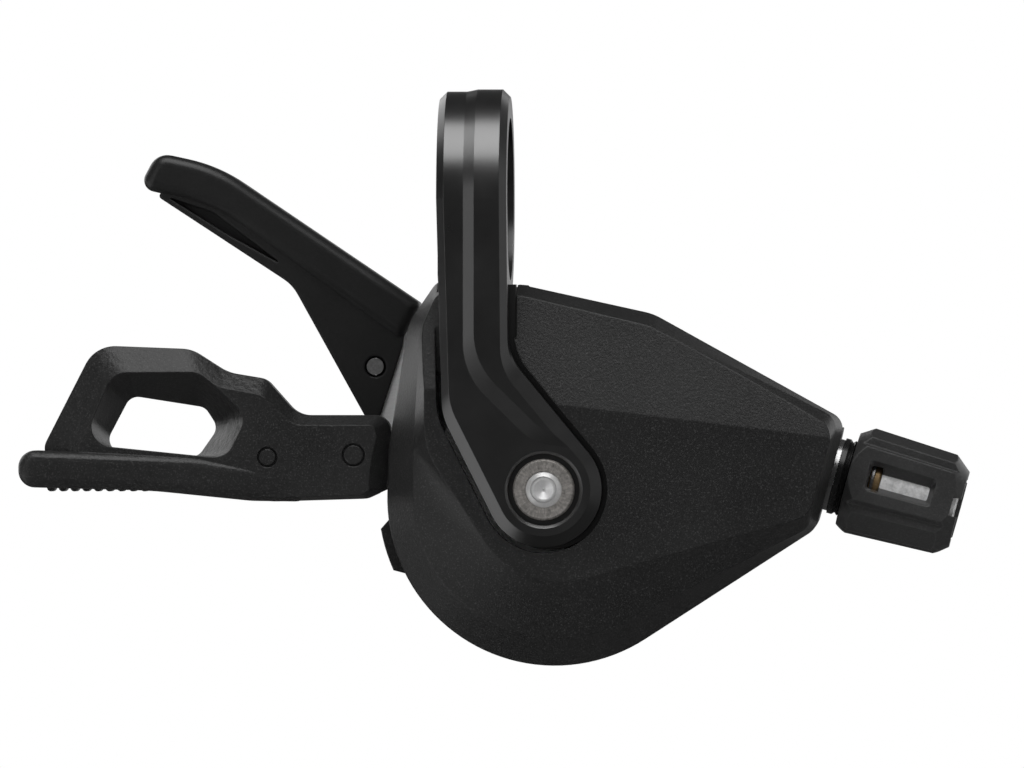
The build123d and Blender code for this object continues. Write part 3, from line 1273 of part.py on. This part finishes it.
# Knob: drafted, with three windowed panels and a raised rib between each two, turned at both ends
with BuildPart() as adjuster_knob:
    for distance, inset in ((KNOB_START, 0.0), (KNOB_END, KNOB_LENGTH * tan(radians(KNOB_DRAFT)))):
        with BuildSketch(adjuster_plane(distance)):
            with BuildLine():
                Polyline(*knob_corners(inset), close=True)
            make_face()
    loft(ruled=True)
    with BuildSketch(adjuster_section()):
        with BuildLine():
            Polyline(
                (0, KNOB_START),
                (KNOB_RADIUS - KNOB_NEAR_CHAMFER[1], KNOB_START),
                (KNOB_RADIUS, KNOB_START + KNOB_NEAR_CHAMFER[0]),
                (KNOB_RADIUS, KNOB_END - KNOB_FAR_CHAMFER[0]),
                (KNOB_RADIUS - KNOB_FAR_CHAMFER[1], KNOB_END),
                (0, KNOB_END),
                close=True,
            )
        make_face()
    revolve(axis=ADJUSTER_AXIS, mode=Mode.INTERSECT)
    with BuildSketch(adjuster_plane(KNOB_START)):
        Circle(BARREL_RADIUS + SEAT_FIT)
    extrude(amount=KNOB_LENGTH, mode=Mode.SUBTRACT)
    with BuildSketch(adjuster_plane(KNOB_START)):
        Circle(KNOB_SKIRT_RADIUS)
    extrude(amount=KNOB_SKIRT_DEPTH, mode=Mode.SUBTRACT)
    for window in range(WINDOW_COUNT):
        angle = window * 360 / WINDOW_COUNT - KNOB_TURN
        with BuildSketch(window_plane(angle, KNOB_RADIUS)):
            RectangleRounded(WINDOW_LENGTH, WINDOW_WIDTH, WINDOW_FILLET)
        with BuildSketch(window_plane(angle, BARREL_RADIUS - SIDE_GAP)):
            RectangleRounded(SLOT_LENGTH, SLOT_WIDTH, SLOT_FILLET)
        loft(ruled=True, mode=Mode.SUBTRACT)
        with BuildSketch(adjuster_plane(KNOB_END)):
            with Locations(Location((0, 0, 0), (0, 0, angle + NOTCH_TURN))):
                Rectangle(KNOB_RADIUS, NOTCH_WIDTH, align=(Align.MIN, Align.CENTER))
        extrude(amount=-NOTCH_DEPTH, mode=Mode.SUBTRACT)
save(adjuster_knob, "adjuster_knob")

# Hollow bolt in the knob: threaded stem, and a barrel bored for the cable's casing
with BuildPart() as adjuster_bolt:
    with BuildSketch(adjuster_section()):
        with BuildLine():
            Polyline(
                (CABLE_HOLE_RADIUS, -STEM_INSIDE),
                (STEM_RADIUS, -STEM_INSIDE),
                (STEM_RADIUS, SKIRT_END),
                (BARREL_RADIUS, SKIRT_END),
                (BARREL_RADIUS, BARREL_END),
                (CASING_RADIUS, BARREL_END),
                (CASING_RADIUS, BARREL_END - CASING_DEPTH),
                (CABLE_HOLE_RADIUS, BARREL_END - CASING_DEPTH),
                close=True,
            )
        make_face()
    revolve(axis=ADJUSTER_AXIS)
save(adjuster_bolt, "adjuster_bolt")

# Slotted plug in the port where the cable is threaded in
with BuildPart() as cable_port_plug:
    with BuildSketch(adjuster_plane(-PORT_REACH)):
        Circle(PLUG_RADIUS)
    extrude(amount=PLUG_LENGTH)
    with BuildSketch(adjuster_plane(-PORT_REACH)):
        Rectangle(2 * PLUG_RADIUS, PLUG_SLOT)
    extrude(amount=PLUG_SLOT, mode=Mode.SUBTRACT)
save(cable_port_plug, "cable_port_plug")
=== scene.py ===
import json
from math import cos, pi, radians, sin, tan

import bpy
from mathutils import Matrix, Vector


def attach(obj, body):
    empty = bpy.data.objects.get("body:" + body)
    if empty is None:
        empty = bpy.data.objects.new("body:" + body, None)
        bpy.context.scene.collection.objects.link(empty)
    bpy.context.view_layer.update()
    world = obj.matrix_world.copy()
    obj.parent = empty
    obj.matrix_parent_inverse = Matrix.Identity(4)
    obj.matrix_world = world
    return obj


# Trigger gear shifter: materials, two small pieces, light and camera.
# Everything is in metres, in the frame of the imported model.

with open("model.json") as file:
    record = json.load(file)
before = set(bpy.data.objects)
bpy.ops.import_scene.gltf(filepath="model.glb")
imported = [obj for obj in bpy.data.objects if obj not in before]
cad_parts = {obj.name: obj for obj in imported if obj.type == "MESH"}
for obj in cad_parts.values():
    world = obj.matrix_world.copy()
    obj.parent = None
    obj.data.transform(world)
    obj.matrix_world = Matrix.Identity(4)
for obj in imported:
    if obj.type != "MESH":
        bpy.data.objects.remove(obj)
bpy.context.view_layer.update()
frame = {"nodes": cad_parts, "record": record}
nodes = frame["nodes"]
scene = bpy.context.scene

# Places and directions in that frame
FRONT = Vector((0.0, -1.0, 0.0))
ALONG_X = Vector((1.0, 0.0, 0.0))
ALONG_Y = Vector((0.0, 1.0, 0.0))
AXLE = Vector((0.0099, 0.0, -0.0397))
NOSE = Vector((0.0487447, 0.0079, -0.0377085))
CABLE_WAY = Vector((0.963630, 0.0, -0.267238))
MIDDLE = Vector((0.005, 0.0, -0.0253))

# Centre and axis of the turned pieces
ABOUT_AXLE = (AXLE, ALONG_Y)
ABOUT_CABLE = (NOSE, CABLE_WAY)

# Textures, in features to the metre
MOULD_GRAIN = 3000.0
DRUM_GRAIN = 2400.0
# Painted glints: light specks in the colour, finer than the grain by this ratio
GLINT_SPECK_RATIO = 1.7
MOULD_BLOTCH = 90.0
LEATHER_CELLS = 1250.0
EDGE_WEAR = 700.0
BLASTING = 5200.0
BAND_BLOTCH = 120.0
MOTTLING = 1500.0
STAINS = 260.0
OXIDE_GRAIN = 2600.0
PAPER_GRAIN = 40.0

# How far the texture moves the roughness, at its low and its high end
PLASTIC_SWING = (-0.05, 0.07)
BAND_SWING = (-0.03, 0.03)
METAL_SWING = (0.1, -0.06)
COATED_SWING = (-0.06, 0.08)

BEVEL_SAMPLES = 6
BLAST_DEPTH = 0.0000012
COATED_DEPTH = 0.000015
COATED_METALLIC = 0.6


# Shader nodes

def start_material(name):
    """A new node material, with the position on the object as its texture coordinate."""
    material = bpy.data.materials.new(name)
    material.use_nodes = True
    tree = material.node_tree
    shader = tree.nodes["Principled BSDF"]
    place = tree.nodes.new("ShaderNodeTexCoord").outputs["Object"]
    return material, tree, shader, place


def set_input(tree, socket, value):
    """Sets a socket to a number, or links it to another node's socket."""
    if isinstance(value, (int, float)):
        socket.default_value = value
    else:
        tree.links.new(value, socket)


def noise(tree, place, scale, detail=2.0, roughness=0.5):
    texture = tree.nodes.new("ShaderNodeTexNoise")
    texture.inputs["Scale"].default_value = scale
    texture.inputs["Detail"].default_value = detail
    texture.inputs["Roughness"].default_value = roughness
    tree.links.new(place, texture.inputs["Vector"])
    return texture.outputs["Fac"]


def cells(tree, place, scale):
    texture = tree.nodes.new("ShaderNodeTexVoronoi")
    texture.feature = "SMOOTH_F1"
    texture.inputs["Scale"].default_value = scale
    tree.links.new(place, texture.inputs["Vector"])
    return texture.outputs["Distance"]


def spread(tree, value, low=0.0, high=1.0, start=0.3, end=0.7):
    """Maps a value between start and end to the range from low to high."""
    node = tree.nodes.new("ShaderNodeMapRange")
    node.inputs["From Min"].default_value = start
    node.inputs["From Max"].default_value = end
    node.inputs["To Min"].default_value = low
    node.inputs["To Max"].default_value = high
    tree.links.new(value, node.inputs["Value"])
    return node.outputs["Result"]


def calc(tree, operation, first, second):
    node = tree.nodes.new("ShaderNodeMath")
    node.operation = operation
    for socket, value in zip(node.inputs, (first, second)):
        set_input(tree, socket, value)
    return node.outputs["Value"]


def plus(tree, first, second):
    return calc(tree, "ADD", first, second)


def times(tree, first, second):
    return calc(tree, "MULTIPLY", first, second)


def blend(tree, first, second, share):
    """The sum of two values, with this share of the second."""
    return plus(tree, times(tree, first, 1.0 - share), times(tree, second, share))


def combine(tree, *values):
    node = tree.nodes.new("ShaderNodeCombineXYZ")
    for socket, value in zip(node.inputs, values):
        set_input(tree, socket, value)
    return node.outputs["Vector"]


def colour_mix(tree, value, dark, light):
    """A colour from dark to light, and past light where the value is over 1."""
    node = tree.nodes.new("ShaderNodeMix")
    node.data_type = "RGBA"
    node.clamp_factor = False
    node.inputs["A"].default_value = (*dark, 1.0)
    node.inputs["B"].default_value = (*light, 1.0)
    tree.links.new(value, node.inputs["Factor"])
    return node.outputs["Result"]


def soft_edges(tree, radius):
    """The surface's direction, turned over a small radius at each sharp edge."""
    node = tree.nodes.new("ShaderNodeBevel")
    node.samples = BEVEL_SAMPLES
    node.inputs["Radius"].default_value = radius
    return node.outputs["Normal"]


def worn_edges(tree, normal):
    """From 0 on the faces to 1 on the outer line of a rounded edge."""
    dot = tree.nodes.new("ShaderNodeVectorMath")
    dot.operation = "DOT_PRODUCT"
    tree.links.new(normal, dot.inputs[0])
    tree.links.new(tree.nodes.new("ShaderNodeNewGeometry").outputs["True Normal"], dot.inputs[1])
    return spread(tree, dot.outputs["Value"], start=0.995, end=0.93)


def bevel_mask(tree):
    """1 on the faces that look upwards or outwards to the left, which the mould left leathery."""
    split = tree.nodes.new("ShaderNodeSeparateXYZ")
    tree.links.new(tree.nodes.new("ShaderNodeTexCoord").outputs["Normal"], split.inputs["Vector"])
    left = times(tree, split.outputs["X"], -1.0)
    return spread(tree, calc(tree, "MAXIMUM", split.outputs["Z"], left), start=0.2, end=0.4)


def round_place(tree, place, centre, axis):
    """Distance from an axis through the centre, angle about it and distance along it."""
    shift = tree.nodes.new("ShaderNodeVectorMath")
    shift.operation = "SUBTRACT"
    shift.inputs[1].default_value = centre
    tree.links.new(place, shift.inputs[0])
    first = FRONT if abs(axis.y) < 0.5 else ALONG_X
    parts = []
    for way in (first, axis.cross(first), axis):
        dot = tree.nodes.new("ShaderNodeVectorMath")
        dot.operation = "DOT_PRODUCT"
        dot.inputs[1].default_value = way
        tree.links.new(shift.outputs["Vector"], dot.inputs[0])
        parts.append(dot.outputs["Value"])
    across, up, along = parts
    squares = plus(tree, calc(tree, "POWER", across, 2.0), calc(tree, "POWER", up, 2.0))
    distance = calc(tree, "SQRT", squares, 0.0)
    angle = calc(tree, "ARCTAN2", up, across)
    return distance, angle, along


def dress(tree, shader, colour, rough, normal, height, depth, metallic=0.0):
    """Joins the colour, roughness and bump to the shader."""
    tree.links.new(colour, shader.inputs["Base Color"])
    tree.links.new(rough, shader.inputs["Roughness"])
    shader.inputs["Metallic"].default_value = metallic
    node = tree.nodes.new("ShaderNodeBump")
    node.inputs["Distance"].default_value = depth
    tree.links.new(height, node.inputs["Height"])
    tree.links.new(normal, node.inputs["Normal"])
    tree.links.new(node.outputs["Normal"], shader.inputs["Normal"])


def swung(tree, value, roughness, swing):
    """A roughness that follows a texture's value."""
    low, high = swing
    return spread(tree, value, roughness + low, roughness + high)


# Kinds of material; each has an edge radius and a bump depth in metres

def moulded_plastic(
    name, dark, light, roughness, depth, edge, grain=MOULD_GRAIN, glint_specks=3.5, leather=0.0, wear=0.0
):
    """Moulded plastic: fine grain, light specks painted in as the grain's glints, faint blotches, a
    leathery bevel, worn edges.
    """
    material, tree, shader, place = start_material(name)
    normal = soft_edges(tree, edge)
    fine = noise(tree, place, grain, detail=3.0, roughness=0.6)
    blotch = noise(tree, place, MOULD_BLOTCH)
    # Light specks painted into the colour: painted glints of the grain, shown whether lit or not
    glint_speck = spread(tree, noise(tree, place, grain * GLINT_SPECK_RATIO, detail=1.0), start=0.58, end=0.72)
    tone = plus(tree, spread(tree, blend(tree, fine, blotch, 0.3)), times(tree, glint_speck, glint_specks))
    rough = swung(tree, blend(tree, fine, blotch, 0.6), roughness, PLASTIC_SWING)
    height = fine
    if leather:
        large = blend(tree, cells(tree, place, LEATHER_CELLS), fine, 0.25)
        height = plus(tree, fine, times(tree, times(tree, large, bevel_mask(tree)), leather))
    if wear:
        patches = noise(tree, place, EDGE_WEAR, detail=3.0, roughness=0.6)
        worn = times(tree, worn_edges(tree, normal), patches)
        tone = plus(tree, tone, times(tree, worn, wear))
    dress(tree, shader, colour_mix(tree, tone, dark, light), rough, normal, height, depth)
    return material


def anodised_metal(name, dark, light, roughness, edge):
    """Black anodised aluminium: a dark metal with a fine blasted surface."""
    material, tree, shader, place = start_material(name)
    normal = soft_edges(tree, edge)
    fine = noise(tree, place, BLASTING)
    blotch = noise(tree, place, BAND_BLOTCH, detail=3.0, roughness=0.55)
    colour = colour_mix(tree, spread(tree, blotch), dark, light)
    rough = swung(tree, blotch, roughness, BAND_SWING)
    dress(tree, shader, colour, rough, normal, fine, BLAST_DEPTH, metallic=1.0)
    return material


def turned_metal(
    name, dark, light, roughness, about, rings, rays, streaks, depth, edge, mottle=0.0, metallic=1.0
):
    """Metal turned about an axis: fine rings, radial scratches and a share of mottling."""
    material, tree, shader, place = start_material(name)
    normal = soft_edges(tree, edge)
    distance, angle, along = round_place(tree, place, *about)
    circles = combine(tree, times(tree, distance, rings), along, 0.0)
    swept = combine(tree, times(tree, angle, rays), times(tree, distance, streaks), along)
    ring = noise(tree, circles, 1.0, detail=3.0, roughness=0.6)
    ray = noise(tree, swept, 1.0, detail=3.0, roughness=0.65)
    marks = blend(tree, ring, ray, 0.6)
    if mottle:
        marks = blend(tree, marks, noise(tree, place, MOTTLING, detail=3.0, roughness=0.6), mottle)
    colour = colour_mix(tree, spread(tree, marks), dark, light)
    rough = swung(tree, marks, roughness, METAL_SWING)
    dress(tree, shader, colour, rough, normal, marks, depth, metallic)
    return material


def rolled_metal(name, dark, light, roughness, stretch, depth, edge, metallic=1.0):
    """Bare sheet or wire: scratches drawn out along one direction, with stains."""
    material, tree, shader, place = start_material(name)
    normal = soft_edges(tree, edge)
    scaled = tree.nodes.new("ShaderNodeVectorMath")
    scaled.operation = "MULTIPLY"
    scaled.inputs[1].default_value = stretch
    tree.links.new(place, scaled.inputs[0])
    scratch = noise(tree, scaled.outputs["Vector"], 1.0, detail=4.0, roughness=0.65)
    stain = noise(tree, place, STAINS, detail=3.0, roughness=0.55)
    marks = blend(tree, scratch, stain, 0.35)
    colour = colour_mix(tree, spread(tree, marks), dark, light)
    rough = swung(tree, marks, roughness, METAL_SWING)
    dress(tree, shader, colour, rough, normal, scratch, depth, metallic)
    return material


def coated_metal(name, dark, light, roughness, edge):
    """Black oxide or paint on a small fastener."""
    material, tree, shader, place = start_material(name)
    normal = soft_edges(tree, edge)
    fine = noise(tree, place, OXIDE_GRAIN, detail=3.0, roughness=0.6)
    colour = colour_mix(tree, spread(tree, fine), dark, light)
    rough = swung(tree, fine, roughness, COATED_SWING)
    dress(tree, shader, colour, rough, normal, fine, COATED_DEPTH, COATED_METALLIC)
    return material


def grey(value, warm=0.0):
    return (value * (1.0 + warm), value, value * (1.0 - warm))


# Finishes. Plated and dulled metal scatters a part of the light, so it is less than fully metallic.

# In the plastics, the specks weight sets how strong the painted glints are
cover = moulded_plastic(
    "cover_black", grey(0.0085), grey(0.0155), roughness=0.40, depth=0.000045, edge=0.00035, wear=0.5
)
housing = moulded_plastic(
    "housing_black", grey(0.007), grey(0.012), roughness=0.42, depth=0.000040, edge=0.0003, wear=0.4
)
lever = moulded_plastic(
    "lever_black", grey(0.0105), grey(0.018), roughness=0.38, depth=0.000030, edge=0.00025, leather=3.0
)
pad = moulded_plastic(
    "pad_black", grey(0.0105), grey(0.015), roughness=0.33, depth=0.000012, edge=0.0005, glint_specks=0.6
)
knob = moulded_plastic(
    "knob_black", grey(0.017), grey(0.028), roughness=0.36, depth=0.000030, edge=0.0003,
    glint_specks=1.5, wear=3.0,
)
ring = moulded_plastic(
    "ring_black", grey(0.006), grey(0.010), roughness=0.26, depth=0.000005, edge=0.0001, glint_specks=0.0
)
drum = moulded_plastic(
    "drum_grey", grey(0.06), grey(0.085), roughness=0.48, depth=0.000015, edge=0.0002,
    grain=DRUM_GRAIN, glint_specks=0.5,
)
band = anodised_metal("band_anodised", grey(0.15), grey(0.175), roughness=0.30, edge=0.00012)
bolt = turned_metal(
    "bolt_turned", grey(0.78), grey(0.92), roughness=0.40, about=ABOUT_AXLE,
    rings=9000.0, rays=3.0, streaks=500.0, depth=0.000004, edge=0.00005, metallic=0.7,
)
nut = turned_metal(
    "nut_turned", grey(0.14, 0.06), grey(0.88, 0.05), roughness=0.38, about=ABOUT_AXLE,
    rings=1800.0, rays=12.0, streaks=900.0, depth=0.00016, edge=0.00008, mottle=0.4, metallic=0.85,
)
plate = rolled_metal(
    "plate_bare", grey(0.78), grey(0.92), roughness=0.55, stretch=(900.0, 900.0, 6000.0),
    depth=0.000004, edge=0.0001, metallic=0.6,
)
spring = rolled_metal(
    "spring_drawn", grey(0.38), grey(0.52), roughness=0.28, stretch=(1500.0, 6000.0, 1500.0),
    depth=0.000004, edge=0.00005,
)
screw = coated_metal("screw_black", grey(0.035), grey(0.06), roughness=0.42, edge=0.0001)
rivet = coated_metal("rivet_grey", grey(0.15), grey(0.24), roughness=0.48, edge=0.0001)
sleeve = turned_metal(
    "sleeve_turned", grey(0.52), grey(1.0), roughness=0.42, about=ABOUT_CABLE,
    rings=2500.0, rays=9.0, streaks=1500.0, depth=0.00012, edge=0.00008, mottle=0.7, metallic=0.35,
)
washer = turned_metal(
    "washer_turned", grey(0.45), grey(0.60), roughness=0.24, about=ABOUT_CABLE,
    rings=2500.0, rays=9.0, streaks=1500.0, depth=0.000004, edge=0.00008,
)
brass = turned_metal(
    "collar_brass", (0.36, 0.24, 0.12), (0.62, 0.44, 0.24), roughness=0.42, about=ABOUT_CABLE,
    rings=2500.0, rays=12.0, streaks=900.0, depth=0.00001, edge=0.00008,
)

# Finish of each material slot, and of the nodes that differ from their slot's
SLOT_FINISH = {
    "band_anodised": band,
    "cover_plastic": cover,
    "housing_plastic": housing,
    "lever_plastic": lever,
    "knob_plastic": knob,
    "drum_plastic": drum,
    "bright_steel": bolt,
    "nut_steel": nut,
    "plate_steel": plate,
    "spring_steel": spring,
    "screw_steel": screw,
    "rivet_steel": rivet,
    "bright_aluminium": sleeve,
}
NODE_FINISH = {"detent_ring": ring, "seat_washer": washer, "thumb_lever": pad}
for subpart in frame["record"]["subparts"]:
    node_name = subpart["node"]
    slots = nodes[node_name].data.materials
    slots.clear()
    slots.append(NODE_FINISH.get(node_name, SLOT_FINISH[subpart["material_slot"]]))


# Small pieces that the solids leave out

def add_piece(name, points, faces, material, body, slot):
    mesh = bpy.data.meshes.new(name)
    mesh.from_pydata(points, [], faces)
    mesh.materials.append(material)
    mesh.validate()
    piece = bpy.data.objects.new(name, mesh)
    scene.collection.objects.link(piece)
    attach(piece, body)


def turned_ring(profile, steps):
    """Points and faces of a closed profile of radius and distance, turned about the adjuster's axis."""
    side_way = CABLE_WAY.cross(FRONT)
    points = []
    faces = []
    count = len(profile)
    for step in range(steps):
        angle = 2 * pi * step / steps
        out_way = FRONT * cos(angle) + side_way * sin(angle)
        points += [NOSE + CABLE_WAY * along + out_way * radius for radius, along in profile]
        start = step * count
        after = (step + 1) % steps * count
        for first in range(count):
            second = (first + 1) % count
            faces.append((start + first, after + first, after + second, start + second))
    return points, faces


def flat_tab(outline, front, back):
    """Points and faces of an outline in X and Z, clockwise as seen from the front, drawn out in Y."""
    count = len(outline)
    points = [(x, depth, z) for depth in (front, back) for x, z in outline]
    faces = [tuple(reversed(range(count))), tuple(range(count, 2 * count))]
    for first in range(count):
        second = (first + 1) % count
        faces.append((first, second, count + second, count + first))
    return points, faces


# Brass collar on the cable's sleeve: it shows at the near end of each slot in the knob
COLLAR_PROFILE = [
    (0.00305, 0.0050),
    (0.00435, 0.0050),
    (0.00462, 0.0053),
    (0.00462, 0.0063),
    (0.00445, 0.0065),
    (0.00305, 0.0065),
]
COLLAR_STEPS = 72
collar = turned_ring(COLLAR_PROFILE, COLLAR_STEPS)
add_piece("barrel_collar", *collar, brass, "adjuster_barrel", "bright_aluminium")

# Small tab behind the front cover's rim, which closes the notch beside the clamp's channel
TAB_OUTLINE = [
    (0.0058, -0.0121),
    (0.0062, -0.0117),
    (0.0074, -0.0118),
    (0.0078, -0.0122),
    (0.0078, -0.0142),
    (0.0074, -0.0146),
    (0.0062, -0.0146),
    (0.0058, -0.0142),
]
TAB_FRONT = -0.0040
TAB_BACK = -0.0034
tab = flat_tab(TAB_OUTLINE, TAB_FRONT, TAB_BACK)
add_piece("cover_tab", *tab, cover, "housing", "cover_plastic")


# World: white to the camera, a soft fill, and a dark studio in reflections that is paler behind

FILL_LIGHT = 0.60
DARK_STUDIO = 0.055
PALE_BACK = 0.4
BACK_START = 0.94
BACK_END = 0.99
WHITE = 1.0


def background(tree, strength):
    """White light of this strength, which is a number or a socket."""
    node = tree.nodes.new("ShaderNodeBackground")
    node.inputs["Color"].default_value = (1.0, 1.0, 1.0, 1.0)
    set_input(tree, node.inputs["Strength"], strength)
    return node.outputs["Background"]


def mix_shader(tree, share, first, second):
    node = tree.nodes.new("ShaderNodeMixShader")
    tree.links.new(share, node.inputs["Fac"])
    tree.links.new(first, node.inputs[1])
    tree.links.new(second, node.inputs[2])
    return node.outputs["Shader"]


world = bpy.data.worlds.new("studio")
scene.world = world
world.use_nodes = True
tree = world.node_tree
tree.nodes.clear()
path = tree.nodes.new("ShaderNodeLightPath").outputs
seen = calc(tree, "MAXIMUM", path["Is Camera Ray"], path["Is Transmission Ray"])
split = tree.nodes.new("ShaderNodeSeparateXYZ")
tree.links.new(tree.nodes.new("ShaderNodeTexCoord").outputs["Generated"], split.inputs["Vector"])
studio = background(tree, spread(tree, split.outputs["Y"], DARK_STUDIO, PALE_BACK, BACK_START, BACK_END))
unseen = mix_shader(tree, path["Is Glossy Ray"], background(tree, FILL_LIGHT), studio)
out = tree.nodes.new("ShaderNodeOutputWorld")
tree.links.new(mix_shader(tree, seen, unseen, background(tree, WHITE)), out.inputs["Surface"])


# Soft boxes: azimuth, elevation, width and height as seen from the object, in degrees, and radiance

BOX_DISTANCE = 2.2
SOFT_BOXES = {
    "top_box": (0.0, 66.0, 44.0, 46.0, 2.6),
    "left_box": (-76.0, -29.0, 56.0, 44.0, 0.65),
    "near_box": (-34.0, 0.0, 24.0, 36.0, 0.7),
    "right_box": (82.0, 8.0, 34.0, 46.0, 0.25),
    "rear_left_box": (-142.0, 14.0, 50.0, 40.0, 1.2),
    "rear_right_box": (140.0, 8.0, 50.0, 36.0, 0.8),
}


def soft_box(name, azimuth, elevation, wide, high, radiance):
    """A rectangular lamp that faces the object; azimuth 0 is in front of it."""
    flat = cos(radians(elevation))
    way = Vector((sin(radians(azimuth)) * flat, -cos(radians(azimuth)) * flat, sin(radians(elevation))))
    lamp = bpy.data.lights.new(name, "AREA")
    lamp.shape = "RECTANGLE"
    lamp.size = 2 * BOX_DISTANCE * tan(radians(wide / 2))
    lamp.size_y = 2 * BOX_DISTANCE * tan(radians(high / 2))
    lamp.energy = radiance * pi * lamp.size * lamp.size_y
    box = bpy.data.objects.new(name, lamp)
    box.location = MIDDLE + way * BOX_DISTANCE
    box.rotation_euler = (-way).to_track_quat("-Z", "Y").to_euler()
    box.visible_camera = False
    scene.collection.objects.link(box)


for box_name, settings in SOFT_BOXES.items():
    soft_box(box_name, *settings)


# Floor of pale paper

FLOOR_REACH = 1.4
FLOOR_LEVEL = -0.165
PAPER_ROUGHNESS = 0.9

floor_mesh = bpy.data.meshes.new("floor")
floor_corners = [
    (-FLOOR_REACH, -FLOOR_REACH, FLOOR_LEVEL),
    (FLOOR_REACH, -FLOOR_REACH, FLOOR_LEVEL),
    (FLOOR_REACH, FLOOR_REACH, FLOOR_LEVEL),
    (-FLOOR_REACH, FLOOR_REACH, FLOOR_LEVEL),
]
floor_mesh.from_pydata(floor_corners, [], [(0, 1, 2, 3)])
floor = bpy.data.objects.new("floor", floor_mesh)
floor.visible_glossy = False
scene.collection.objects.link(floor)
paper, tree, shader, place = start_material("paper")
paper_colour = colour_mix(tree, noise(tree, place, PAPER_GRAIN), grey(0.86), grey(0.90))
tree.links.new(paper_colour, shader.inputs["Base Color"])
shader.inputs["Roughness"].default_value = PAPER_ROUGHNESS
floor_mesh.materials.append(paper)


# Camera, far off with a long lens, a little to the right of straight ahead

CAMERA_DISTANCE = 4.0
CAMERA_TURN = radians(2.4)
LENS_PER_METRE = 257.0
SENSOR_WIDTH = 36.0
CLIP_END = 20.0

camera_data = bpy.data.cameras.new("camera")
camera_data.lens = LENS_PER_METRE * CAMERA_DISTANCE
camera_data.sensor_width = SENSOR_WIDTH
camera_data.clip_end = CLIP_END
camera = bpy.data.objects.new("camera", camera_data)
camera.location = MIDDLE + Vector((sin(CAMERA_TURN), -cos(CAMERA_TURN), 0.0)) * CAMERA_DISTANCE
camera.rotation_euler = (MIDDLE - camera.location).to_track_quat("-Z", "Y").to_euler()
scene.collection.objects.link(camera)
scene.camera = camera
scene.view_settings.view_transform = "Standard"
